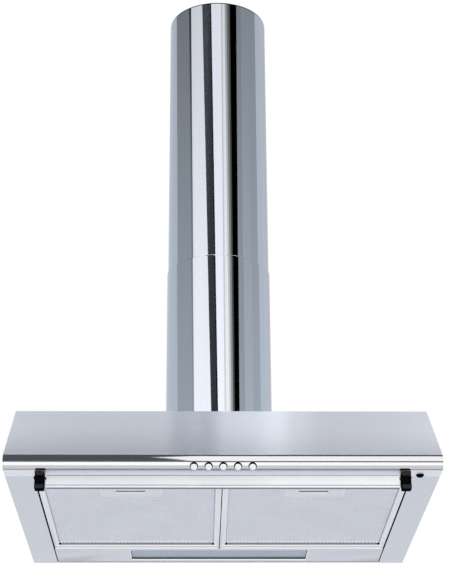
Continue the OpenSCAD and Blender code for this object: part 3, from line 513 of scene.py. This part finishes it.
def chimney_card(name, start, end, low, high=None, tint=PLAIN, foot=CARD_FOOT, top=CARD_TOP):
    """A tall card that the chimney shows between two edges, in degrees right of the front.

    An edge given as a pair leans: the angles are those at CARD_LOW and at CARD_HIGH."""
    edges = [edge if isinstance(edge, tuple) else (edge, edge) for edge in (start, end)]
    steps = max(1, round(abs(edges[1][0] - edges[0][0]) / 10))
    heights = [(foot, 0), (max(foot, CARD_LOW), 0), (max(foot, CARD_HIGH), 1), (top, 1)]
    corners, faces = [], []
    for row, (z, lean) in enumerate(heights):
        for i in range(steps + 1):
            turn = math.radians(edges[0][lean] + (edges[1][lean] - edges[0][lean]) * i / steps)
            x, y = CARD_DISTANCE * math.sin(turn), CHIMNEY_Y - CARD_DISTANCE * math.cos(turn)
            corners.append((x, y, z))
            if row and i and z > heights[row - 1][0]:
                k = row * (steps + 1) + i
                faces.append((k - steps - 2, k - steps - 1, k, k - 1))
    span = ((CARD_LOW - foot) / (top - foot), (CARD_HIGH - foot) / (top - foot))
    card(name, corners, low, high, tint, span, faces=faces)


def make_chimney_cards():
    """Upright stripes that the chimney shows side by side."""
    grey, line, dark, edge, white = (-96, -118), (-55, -73), (-14, -38), (-3, -18.5), (-0.5, -16)
    thin, thin_end, pale, fade = (12, 7), (15, 10), (22.5, 15.5), (26, 20)
    dusk, black, black_end = (30, 24.5), (33.5, 28), (43, 44.5)
    chimney_card("left_back", -180, -135, 0.74, 0.66, tint=COOL, top=BACK_TOP)
    chimney_card("left_edge", -135, grey, 0.74, 0.62, tint=COOL)
    chimney_card("left_grey", grey, line, 0.56, 0.26, tint=COOL)
    chimney_card("left_line", line, (-52, -67), 0.5, 0.02, tint=COOL)
    chimney_card("left_white", (-52, -67), dark, 1.44, 0.92, tint=PALE)
    chimney_card("front_dim", dark, edge, 0.055, tint=COOL)
    chimney_card("front_dark", edge, white, 0.0)
    chimney_card("front_white", white, thin, 1.5, 1.1, tint=PALE)
    chimney_card("front_line", thin, thin_end, 1.0, 0.7)
    chimney_card("right_white", thin_end, pale, 1.40, 1.0)
    chimney_card("right_pale", pale, fade, 1.0, 0.5)
    chimney_card("right_fade", fade, dusk, 0.5, 0.2)
    chimney_card("right_dusk", dusk, black, 0.1)
    chimney_card("right_black", black, black_end, 0.0)
    chimney_card("right_grey", black_end, 56, 0.54, 0.30, tint=COOL)
    chimney_card("right_mid", 56, 78, 0.68, 0.36, tint=COOL)
    chimney_card("right_light", 78, 100, 0.60, 0.36, tint=COOL)
    chimney_card("right_edge", 100, 135, 0.76, 0.66, tint=COOL)
    chimney_card("right_back", 135, 180, 0.7, 0.6, tint=LILAC, top=BACK_TOP)


def make_nose_cards():
    """What the round nose shows: white in front and below, dark at the left and straight above.

    The cards are near and end at their reach, so that the rest of the hood doesn't show them."""
    left, right, near, tent = -0.8, 0.9, -0.7, -0.568
    top, roof, tip, foot, back = 0.19, 0.12, -0.105, -0.046, -0.45
    line_low, line_high, low_left, floor = -0.131, -0.0685, -0.09, -0.26
    under, under_y, under_end = -0.235, -0.6, -0.39
    dark, bright = 0.13, 1.72
    above, over, nose = {"reach": 0.26}, {"reach": 0.325}, {"reach": 0.44}
    warm = {"tint": (1.06, 1.0, 0.90)}
    card("nose_above", [(left, tent, roof), (right, tent, roof), (right, back, roof), (left, back, roof)],
         0.1, **above)
    card("nose_dark_high", [(left, near, top), (tip, near, top), (foot, tent, roof), (left, tent, roof)],
         dark, tint=COOL, **over)
    card("nose_dark", [(left, near, low_left), (foot, near, low_left), (foot, near, line_high),
                       (tip, near, top), (left, near, top)], dark, tint=COOL, **nose)
    card("nose_white_high", [(tip, near, top), (right, near, top), (right, tent, roof),
                             (foot, tent, roof)], bright, **warm, **over)
    card("nose_white", [(foot, near, line_high), (right, near, line_high), (right, near, top),
                        (tip, near, top)], bright, **warm, **nose)
    card("nose_line", [(foot, near, line_low), (right, near, line_low), (right, near, line_high),
                       (foot, near, line_high)], 0.4, **warm, **nose)
    card("nose_low_left", [(left, near, line_low), (foot, near, line_low), (foot, near, low_left),
                           (left, near, low_left)], 1.85, **warm, **nose)
    card("nose_low", [(left, near, floor), (right, near, floor), (right, near, line_low),
                      (left, near, line_low)], 1.9, **warm, **nose)
    card("nose_below", [(left, near, floor), (right, near, floor), (right, under_y, under),
                        (left, under_y, under)], 2.0, **warm, **nose)
    card("nose_return", [(left, under_y, under), (right, under_y, under), (right, under_end, floor),
                         (left, under_end, floor)], 1.15, **warm, **nose)
    half, back, low, high = 2.5, 0.8, -1.25, -0.14
    card("under_glow", [(-half, back, low), (half, back, low), (half, back, high),
                        (-half, back, high)], 1.1)


def make_high_cards():
    """What the slope shows, straight and by way of the chimney, and the chimney from steeply below."""
    chimney_card("high_band", -135, 135, 1.1, tint=COOL, foot=CARD_TOP + CARD_GAP, top=BAND_TOP)
    chimney_card("high", -135, 135, 2.7, foot=BAND_TOP, top=SKY_TOP)
    chimney_card("high_back", 135, 225, 1.25, foot=BACK_TOP, top=SKY_TOP)


def make_cards():
    """All the studio cards."""
    make_chimney_cards()
    make_nose_cards()
    make_high_cards()


def lamp(name, place, aim, size, power):
    """A square lamp that lights without showing in the metal."""
    data = bpy.data.lights.new(name, "AREA")
    data.shape = "SQUARE"
    data.size = size
    data.energy = power
    data.specular_factor = 0.0
    light = bpy.data.objects.new(name, data)
    direction = Vector(aim) - Vector(place)
    turn = direction.to_track_quat("-Z", "Y").to_matrix().to_4x4()
    light.matrix_world = Matrix.Translation(place) @ turn
    bpy.context.scene.collection.objects.link(light)
    return light


def make_light():
    """The world, two soft lamps and the cards."""
    make_world()
    middle = (0, -0.2, 0.2)
    lamp("key", (-1.8, -2.4, 2.2), middle, 1.6, 45)
    lamp("fill", (2.2, -2.0, 0.2), middle, 1.8, 20)
    make_cards()


def slope_glow(name, x0, x1, level, receiver):
    """A soft glow that only the front sheet shows, between two places across its sloped face.

    The lamp stands where the camera's view is mirrored by the middle of the slope."""
    reach, length = 0.4, 0.8
    slope_y, slope_z = -0.43, -0.01
    middle = Vector(((x0 + x1) / 2, slope_y, slope_z))
    toward = Vector((0, 0.462, 0.887))
    light = lamp(name, middle + toward * reach, middle, 1, level * math.pi * (x1 - x0) * length)
    light.data.shape = "RECTANGLE"
    light.data.size = x1 - x0
    light.data.size_y = length
    light.data.specular_factor = 1
    light.data.diffuse_factor = 0
    light.data.use_shadow = False
    receivers = bpy.data.collections.new(name)
    receivers.objects.link(receiver)
    light.light_linking.receiver_collection = receivers


# Pieces of the canopy
NOSE_STEPS = 40


def arc(radius, centre, start, end, steps):
    """Points of an arc between two angles in degrees."""
    turns = [math.radians(start + (end - start) * k / steps) for k in range(steps + 1)]
    return [Vector((centre[0] + radius * math.cos(turn), centre[1] + radius * math.sin(turn)))
            for turn in turns]


def boolean_cut(piece, cutter):
    """Cuts a closed mesh out of the piece and leaves a plain mesh."""
    modifier = piece.modifiers.new("cut", "BOOLEAN")
    modifier.object = cutter
    modifier.operation = "DIFFERENCE"
    modifier.solver = "EXACT"
    bpy.context.view_layer.update()
    cut = bpy.data.meshes.new_from_object(piece.evaluated_get(bpy.context.evaluated_depsgraph_get()))
    piece.modifiers.remove(modifier)
    bpy.data.objects.remove(cutter)
    return cut


def press_frame(x):
    """The frame of a button: its Z points out of the nose, down towards the front."""
    return Matrix.Translation(at(x, NOSE_MM, NOSE_R / MM)) @ Matrix.Rotation(math.radians(135), 4, "X")


def within_hole(place):
    """Whether a place in a button's frame is on the wall of its hole and below the nose's axis."""
    outside, slack = 5 * MM, 0.1
    return place.z > outside and place.xy.length < (BUTTON_HOLE_R + slack) * MM


def nose_normals(mesh):
    """Gives the round nose its finish and true normals, and each other face its own: the walls of the
    button holes are painted black as shade, and the lip takes the lighter steel that is painted light.
    """
    aligned, thickness, slack, down = 0.97, 1.4 * SHEET, 1.01, -0.9
    axis = at(0, SHEET_NOSE_Y, SHEET_NOSE_R)
    radius = SHEET_NOSE_R * MM
    presses = [press_frame(x).inverted() for x in BUTTON_X]
    normals = []
    for face in mesh.polygons:
        spoke = Vector((0, face.center.y - axis.y, face.center.z - axis.z))
        side = face.normal.dot(spoke.normalized())
        on_nose = abs(side) > aligned and radius - thickness < spoke.length < radius * slack
        in_hole = any(within_hole(press @ face.center) for press in presses)
        flat = face.normal.z < down
        # Hole walls take the black as painted shade; the lip takes the lighter steel as painted light
        face.material_index = HOLE if in_hole else NOSE if on_nose else FLAT if flat else SLOPE
        for corner in face.vertices:
            place = mesh.vertices[corner].co
            radial = Vector((0, place.y - axis.y, place.z - axis.z)).normalized()
            normals.append(radial * math.copysign(1, side) if on_nose else face.normal)
    mesh.normals_split_custom_set([tuple(n) for n in normals])


def unroll_uv(mesh):
    """Lays V along X, so that gloss spreads across the brushed lines, which run along X."""
    layer = mesh.uv_layers.new(name="grain")
    for loop in mesh.loops:
        place = mesh.vertices[loop.vertex_index].co
        layer.data[loop.index].uv = (place.z - place.y, place.x)


def make_front_panel():
    """Sloped face, round nose, front lip and its rim, with the holes that the buttons come through."""
    slope_top = (SLOPE_TOP / MM, (TOP - UNDER) / MM)
    radius, thick = SHEET_NOSE_R, SHEET / MM
    rise, run = slope_top[1] - radius, slope_top[0] - SHEET_NOSE_Y
    tangent = math.degrees(math.atan2(rise, run) + math.acos(radius / math.hypot(rise, run)))
    bend = math.radians(tangent - 90) / 2
    outer = [Vector(slope_top)] + arc(radius, (SHEET_NOSE_Y, radius), tangent, 270, NOSE_STEPS)
    outer.append(Vector((LIP_MM, 0)))
    inner = [Vector((slope_top[0] + thick * math.tan(bend), slope_top[1] - thick))]
    inner += arc(radius - thick, (SHEET_NOSE_Y, radius), tangent, 270, NOSE_STEPS)
    inner.append(Vector((LIP_MM, thick)))
    shape = bmesh.new()
    prism(shape, outer + inner[::-1], -HALF_W / MM, HALF_W / MM)
    piece = new_piece("front_panel_sheet", finish_mesh("front_panel_sheet", shape), "root", "steel",
                      "front_panel", materials=SHEET_FINISHES)
    cutters = bmesh.new()
    for x in BUTTON_X:
        turned(cutters, [(BUTTON_HOLE_R, 0), (BUTTON_HOLE_R, 1.3 * radius)], press_frame(x))
    mesh = finish_mesh("cutters", cutters)
    cutter = bpy.data.objects.new("cutters", mesh)
    bpy.context.scene.collection.objects.link(cutter)
    cut = boolean_cut(piece, cutter)
    shape = bmesh.new()
    shape.from_mesh(cut)
    slab(shape, (-RIM_X, LIP_MM - thick, thick), (RIM_X, LIP_MM, RIM_H))
    piece.data = finish_mesh("front_panel_sheet", shape)
    for material in SHEET_FINISHES:
        piece.data.materials.append(material)
    nose_normals(piece.data)
    unroll_uv(piece.data)
    slope_glow("slope_glow", 0.004, 0.114, 0.56, piece)
    slope_glow("slope_sheen", 0.114, 0.154, 0.2, piece)


def make_buttons():
    """Five white push buttons: the skirt below the white cap is painted black as the shade in the gap
    round it.
    """
    radius, cap_r = 4.8, 4.45
    skirt_end, cap_low, cap_high = 12.4, 13.4, 14.15
    skirt = [(radius - 0.2, BUTTON_LOW), (radius, BUTTON_LOW + 0.3), (radius, skirt_end - 0.2),
             (radius - 0.2, skirt_end), (cap_r, skirt_end)]
    cap = [(cap_r, cap_low), (4.3, 13.8), (3.9, 14.05), (3.2, cap_high), (1.6, cap_high), (0, cap_high)]
    # The skirt's faces take the black: painted shade round the cap
    finishes = [0] * (len(skirt) - 1) + [1] * len(cap)
    for i, x in enumerate(BUTTON_X, 1):
        shape = bmesh.new()
        turned(shape, skirt + cap, press_frame(x), finishes=finishes)
        new_piece(f"push_button_{i}", finish_mesh("push_button", shape), f"key_{i}", "white_plastic",
                  f"button_{i}", materials=[BLACK_AND_SHADE_FINISH, CAP_FINISH])


def make_visor():
    """The visor bar: a flat face over a groove and a rolled lower lip; its closed underside and the
    groove are painted dark and its top edge grey, as shade.
    """
    front, top, lip = VISOR_FRONT, VISOR_TOP, VISOR_FRONT - VISOR_LIP
    low = top - VISOR_H
    face, groove, groove_depth = top - 13.9, top - 14.3, front + 0.6
    points = [(front + 0.3, top), (front, top - 0.3), (front, top - 1.2), (front, face),
              (groove_depth, groove), (groove_depth, top - 14.8), (lip + 0.6, top - 15.1),
              (lip, top - 15.8), (lip, top - 17.2), (lip + 0.4, low + 0.3), (lip + 1.2, low),
              (front + 5, low), (front + 8, low + 5), (front + 8, top)]
    bright, shaded, line, edge = range(4)
    # Grey and dark faces are painted shade at the top edge, in the groove and under the bar; the top face
    # is a painted highlight
    finishes = [line, line, bright, line, shaded, line] + [bright] * 3 + [shaded] * 3 + [bright, edge]
    shape = bmesh.new()
    prism(shape, points, -VISOR_HALF, VISOR_HALF, finishes)
    mesh = finish_mesh("visor_profile", shape, angle=25)
    piece = new_piece("visor_profile", mesh, "visor", "bright_steel", "visor_bar",
                      materials=[VISOR_FINISH, DARK_SHADE_FINISH, SHADE_LINE_FINISH, HIGHLIGHT_FINISH])
    weighted(piece)


def make_visor_brackets():
    """Black end brackets of the visor, with round edges; the top facet and the foot are a lighter black,
    a painted highlight.
    """
    points = [(3, 0), (5.5, -5.5), (5, -17), (2.5, -19.5), (2.5, -22.5), (4.5, -24.5), (18, -24.5),
              (23, -16.5), (23, 0)]
    outline = [(NOSE_MM + y, z) for y, z in points]
    black, soft = range(2)
    # soft is the lighter black on the top facet and the foot: painted highlight
    finishes = [soft, black, black, soft, soft] + [black] * 4
    for name, side in (("left", -1), ("right", 1)):
        shape = bmesh.new()
        x0, x1 = sorted((side * BRACKET_X0, side * BRACKET_X1))
        prism(shape, outline, x0, x1, finishes)
        piece = new_piece("visor_end_" + name, finish_mesh("visor_end", shape), "root", "black_plastic",
                          "visor_bracket_" + name, materials=[BLACK_AND_SHADE_FINISH, BLACK_HIGHLIGHT_FINISH])
        bevel = piece.modifiers.new("edges", "BEVEL")
        bevel.width = 0.8 * MM
        bevel.segments = 3
        bevel.limit_method = "ANGLE"
        weighted(piece)


def make_plug():
    """The small black plug in the front lip."""
    profile = [(0, 0), (5.4, 0), (5.6, -0.2), (5.6, -0.9), (5.3, -1.2), (4.3, -1.3), (4.1, -2.5),
               (3.7, -2.9), (0, -2.9)]
    shape = bmesh.new()
    turned(shape, profile, Matrix.Translation(at(PLUG_X, PLUG_Y, 0)))
    new_piece("plug_cap", finish_mesh("plug_cap", shape), "root", "black_plastic", "strip_plug",
              materials=[BLACK_AND_SHADE_FINISH])


# Pieces of the chimney
TUBE_WALL = 1
TUBE_SEGMENTS = 256
RIM_BAND = 2.4


def tube_ring(shape, radius, z):
    """A ring of a tube's points, with its radius and height in millimetres in the record's frame."""
    turns = [math.tau * k / TUBE_SEGMENTS for k in range(TUBE_SEGMENTS)]
    centre = Vector((0, CHIMNEY_Y, 0))
    return [shape.verts.new(centre + Vector((radius * MM * math.sin(turn), radius * MM * math.cos(turn),
                                             z * MM))) for turn in turns]


def make_chimney():
    """Two tubes whose rims are slightly rounded, the upper one with its top rim painted near black as a
    shade line.
    """
    for name, body in (("lower", "root"), ("upper", "chimney_top")):
        node = "chimney_" + name
        low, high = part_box(node)
        outer = (high.x - low.x) / 2 / MM
        inner = outer - TUBE_WALL
        z0, z1 = low.z / MM, high.z / MM
        profile = [(outer - 0.3, z0), (outer, z0 + 0.3), (outer, z1 - RIM_BAND), (outer - 0.08, z1 - 0.8),
                   (outer - 0.3, z1 - 0.3), (outer - 0.7, z1), (inner, z1 - 0.2), (inner, z0 + 0.3)]
        shape = bmesh.new()
        rings = [tube_ring(shape, radius, z) for radius, z in profile]
        for i, ring in enumerate(rings):
            after = rings[(i + 1) % len(rings)]
            for k in range(TUBE_SEGMENTS):
                n = (k + 1) % TUBE_SEGMENTS
                shape.faces.new((ring[k], ring[n], after[n], after[k]))
        # Faces of the upper tube above rim_z take the painted shade
        rim_z = (z1 - RIM_BAND - 0.1) * MM
        for face in shape.faces:
            face.material_index = int(name == "upper" and face.calc_center_median().z > rim_z)
        piece = new_piece("chimney_tube_" + name, finish_mesh("tube", shape), body, "chimney_steel", node,
                          materials=[MATERIALS["chimney_steel"], RIM_SHADE_FINISH])
        weighted(piece)


# Pieces of the filters
MESH_INSET = 0.2
COARSE_PITCH, COARSE_STRAND = (8, 3.6), (0.8, 0.35)
FINE_PITCH, FINE_STRAND, FINE_Z = (6.5, 2.9), (0.8, 0.3), 0.4
STRAND_SWING = 0.86
BACKING_Z, BACKING_TOP = 0.75, 1.3
HEM_BEAD, HEM_START, HEM_STOP = 1.3, 0.12, 0.88
LATCH_SIDE, LATCH_FRONT, LATCH_REAR = 3, 20, 6


def strand_ends(shape, ends, z, width, thick):
    """The two cross-sections of a strand between two (x, y) points in millimetres."""
    half, middle, top = width / 2, z + thick * 0.5, z + thick
    return [[shape.verts.new(at(x, y - half, middle)), shape.verts.new(at(x, y + half, z)),
             shape.verts.new(at(x, y + half, middle)), shape.verts.new(at(x, y - half, top))]
            for x, y in ends]


def zigzag_layer(shape, area, room, pitch, strand, z, shift):
    """A layer of expanded metal: zigzag strands that touch the next ones at their turns.

    The strands leave out the room, which is a rectangle (x0, y0, x1, y1) as the area is."""
    x0, y0, x1, y1 = area
    u0, v0, u1, v1 = room
    step, row = pitch[0] / 2, pitch[1] / 2
    for r in range(int((y1 - y0) / row)):
        for c in range(int((x1 - x0) / step)):
            turn = (r + c + shift) % 2
            swing = (0.5 - turn) * row * STRAND_SWING
            ya = y0 + (r + 0.5) * row + swing
            yb = y0 + (r + 0.5) * row - swing
            xa, xb = x0 + c * step, x0 + (c + 1) * step
            if u0 < xb and xa < u1 and v0 < yb + row and ya - row < v1:
                continue
            first, last = strand_ends(shape, ((xa, ya), (xb, yb)), z, *strand)
            for k in range(4):
                n = (k + 1) % 4
                shape.faces.new((first[k], first[n], last[n], last[k]))
            shape.faces.new(first[::-1])
            shape.faces.new(last)


def make_filter_meshes():
    """Layers of expanded aluminium over a plain backing, cut away over the latch, with a folded hem whose
    beads are painted white as highlights.
    """
    for side in ("left", "right"):
        low, high = (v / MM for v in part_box("filter_mesh_" + side))
        latch_low, latch_high = (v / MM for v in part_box("filter_latch_" + side))
        room = (latch_low.x - LATCH_SIDE, latch_low.y - LATCH_FRONT,
                latch_high.x + LATCH_SIDE, latch_high.y + LATCH_REAR)
        z = low.z - UNDER / MM
        area = (low.x + MESH_INSET, low.y + MESH_INSET, high.x - MESH_INSET, MESH_END)
        shape = bmesh.new()
        zigzag_layer(shape, area, room, COARSE_PITCH, COARSE_STRAND, z, 0)
        zigzag_layer(shape, area, room, FINE_PITCH, FINE_STRAND, z + FINE_Z, 1)
        slab(shape, (area[0], area[1], z + BACKING_Z), (area[2], high.y - MESH_INSET, z + BACKING_TOP))
        x0, x1 = low.x + FILTER_LAP, high.x - FILTER_LAP
        count = round((x1 - x0) / HEM_PITCH)
        pitch = (x1 - x0) / count
        for i in range(count):
            fold = (x0 + (i + HEM_START) * pitch, MESH_END, x0 + (i + HEM_STOP) * pitch, HEM_END)
            # The hem's beads take the white: painted highlight
            ridge(shape, fold, z, HEM_BEAD, 1)
        mesh = finish_mesh("filter_pack", shape, angle=20)
        new_piece("filter_pack_" + side, mesh, "filter_" + side, "mesh_aluminium", "filter_mesh_" + side,
                  materials=[MATERIALS["mesh_aluminium"], HIGHLIGHT_FINISH])


def latch_plate(shape, middle, front, start, z, finishes):
    """The plate over the latch, with a finger slot: a dark slab in it is painted shade, and a bead along
    its rear edge is painted white as a highlight.
    """
    metal, edge, dark = finishes
    half, slot, top = LATCH_W / 2, SLOT_W / 2, z + PLATE_T
    slot0, slot1, end = front + SLOT_Y, front + SLOT_Y + SLOT_L, front + LATCH_L
    slab(shape, (middle - half, front + start - 2, z), (middle + half, slot0, top), metal)
    slab(shape, (middle - half, slot0, z), (middle - slot, slot1, top), metal)
    slab(shape, (middle + slot, slot0, z), (middle + half, slot1, top), metal)
    slab(shape, (middle - half, slot1, z), (middle + half, end, top), metal)
    # A dark slab inside the slot: painted shade
    slab(shape, (middle - slot, slot0 + 3.6, z + 1.2), (middle + slot, slot1, z + 1.39), dark)
    # A bead along the slot's rear edge: painted highlight
    ridge(shape, (middle - slot, slot1 - 0.4, middle + slot, slot1 + 4.4), z, 0.5, edge)


# Distances before the frame's rear edge: where the beads, painted white as highlights, and the grey line
# of painted shade between them start and end
FRONT_BEAD, BEAD_LINE, REAR_BEAD = (24, 15.5), (14, 11.6), (9.5, 1.5)
BEAD = 0.35
TAB_X, TAB_HALF = 70, 12
# Half width of the black corner slabs that stand for the notches: painted shade
CORNER = 1.8
REAR_GAP = 0.8


def rim_rings(low, high, rear, z):
    """The loops of a filter's folded frame, from its upper edge round its underside and back."""
    top, fold = high.z - UNDER / MM, z + FOLD_Z
    window, gap = FRAME_SIDE, rear - GAP_END

    def inset(side, back, height):
        return low.x + side, low.y + side, high.x - side, rear - back, height

    return [inset(0, 0, top), inset(0, 0, z + 0.8), inset(0.25, 0.25, z + 0.25), inset(0.8, 0.8, z),
            inset(window - 1, gap - 1, z), inset(window - 0.2, gap - 0.2, z + 0.3),
            inset(window, gap, z + 0.8), inset(window, gap, z + 1.4), inset(4.6, gap - 1.4, z + 1.4),
            inset(4.6, gap - 1.4, fold), inset(window, gap, fold), inset(window, gap, fold + 1),
            inset(1.4, 1.4, fold + 1), inset(1.4, 1.4, top)]


def make_filter_frames():
    """Folded frames: flat strips whose inner edge is painted grey and outer wall black as shade, and a
    rear strip with beads painted white as highlights and black slabs of painted shade at its corners.
    """
    metal, edge, shaded, black, line, plate = range(6)
    # Outer wall black and inner edge grey: painted shade; rounded outer edge white: painted highlight
    finishes = [black, edge, edge, metal, line, line, line] + [metal] * 7
    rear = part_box("lamp_panel")[0].y / MM - REAR_GAP
    for side, sign in (("left", -1), ("right", 1)):
        low, high = (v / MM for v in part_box("filter_frame_" + side))
        x0, y0, x1, z = low.x, low.y, high.x, low.z - UNDER / MM
        left, right = x0 + FRAME_SIDE, x1 - FRAME_SIDE
        middle, outer = (x0 + x1) / 2, x1 if sign > 0 else x0
        shape = bmesh.new()
        ring_stack(shape, rim_rings(low, high, rear, z), finishes)
        # The beads are painted white: painted highlight
        for start, end in (FRONT_BEAD, REAR_BEAD):
            ridge(shape, (x0 + 3, rear - start, x1 - 3, rear - end), z, BEAD, edge)
        start, end = BEAD_LINE
        # A grey strip between the beads: painted shade line
        slab(shape, (x0 + 2, rear - start, z - 0.05), (x1 - 2, rear - end, z + 0.5), line)
        # A grey strip across the rear edge of the mesh: painted shade
        slab(shape, (left - 1, HEM_END + 4.4, z + 0.9), (right + 1, GAP_END + 0.5, z + 1.3), line)
        # Black slabs at the rear corners stand for the notches: painted shade
        for corner in (left, right):
            slab(shape, (corner - CORNER, HEM_END, z - 0.12), (corner + CORNER, GAP_END, z + 1.35), black)
        # A black strip in the seam beside the cheek: painted shade
        seam_shade = sorted((outer - 0.3 * sign, outer + SEAM_SHADE_WIDTH * sign))
        slab(shape, (seam_shade[0], y0 + 1.5, z + 0.3), (seam_shade[1], rear - 1, z + 4), black)
        latch_plate(shape, middle, y0, FRAME_SIDE, z, (plate, edge, shaded))
        for place in (middle - TAB_X, middle + TAB_X):
            slab(shape, (place - TAB_HALF, rear - 2, z + 3.2), (place + TAB_HALF, high.y, z + 4.2), metal)
        materials = [MATERIALS["frame_aluminium"], HIGHLIGHT_FINISH, DARK_SHADE_FINISH, BLACK_AND_SHADE_FINISH, SHADE_LINE_FINISH,
                     PLATE_FINISH]
        new_piece("filter_rim_" + side, finish_mesh("filter_rim", shape), "filter_" + side,
                  "frame_aluminium", "filter_frame_" + side, materials=materials)


LENS_GAP = 0.4
COVER_GAP = 1.4


def make_lamp_cover():
    """The panel behind the filters: a plate whose gap round the lens is painted black as shade, with a
    bead behind it painted white as a highlight.
    """
    metal, edge, line, black = range(4)
    low, high = (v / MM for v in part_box("lamp_panel"))
    lens_low, lens_high = (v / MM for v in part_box("lamp_lens"))
    z = low.z - UNDER / MM
    half = high.x - COVER_GAP

    def plate(inset, height):
        return -half + inset, low.y + inset, half - inset, high.y - inset, z + height

    def opening(grow, height):
        grow += LENS_GAP
        return lens_low.x - grow, lens_low.y - grow, lens_high.x + grow, lens_high.y + grow, z + height

    rings = [plate(0, 3), plate(0, 0.6), plate(0.2, 0.2), plate(0.6, 0), opening(1.4, 0),
             opening(0.3, 0.25), opening(0, 0.7), opening(0, 8), opening(1, 8), opening(1, 1),
             plate(1, 1), plate(1, 3)]
    # Outer wall and the walls round the lens black: painted shade; rounded edges white: painted highlight
    finishes = [black, edge, edge, metal, edge, black, black] + [metal] * 5
    shape = bmesh.new()
    ring_stack(shape, rings, finishes)
    # Black side walls of the panel: painted shade
    for x in (low.x, high.x - 1):
        slab(shape, (x, low.y + 1, z + 1.6), (x + 1, high.y, z + 14), black)
    # A bead behind the lens: painted highlight
    ridge(shape, (lens_low.x - 1, lens_high.y + 1.8, lens_high.x + 1, lens_high.y + 7.5), z, 0.3, edge)
    # A grey strip along the rear edge: painted shade line
    slab(shape, (-half + 1, high.y - 5, z - 0.12), (half - 1, high.y - 2, z + 0.5), line)
    new_piece("lamp_cover", finish_mesh("lamp_cover", shape), "root", "steel", "lamp_panel",
              materials=[MATERIALS["steel"], HIGHLIGHT_FINISH, SHADE_LINE_FINISH, BLACK_AND_SHADE_FINISH])


bpy.context.scene.view_settings.view_transform = "Standard"
place_camera()
make_light()
make_floor()
dress_cad_nodes()
make_front_panel()
make_buttons()
make_visor()
make_visor_brackets()
make_plug()
make_chimney()
make_filter_meshes()
make_filter_frames()
make_lamp_cover()
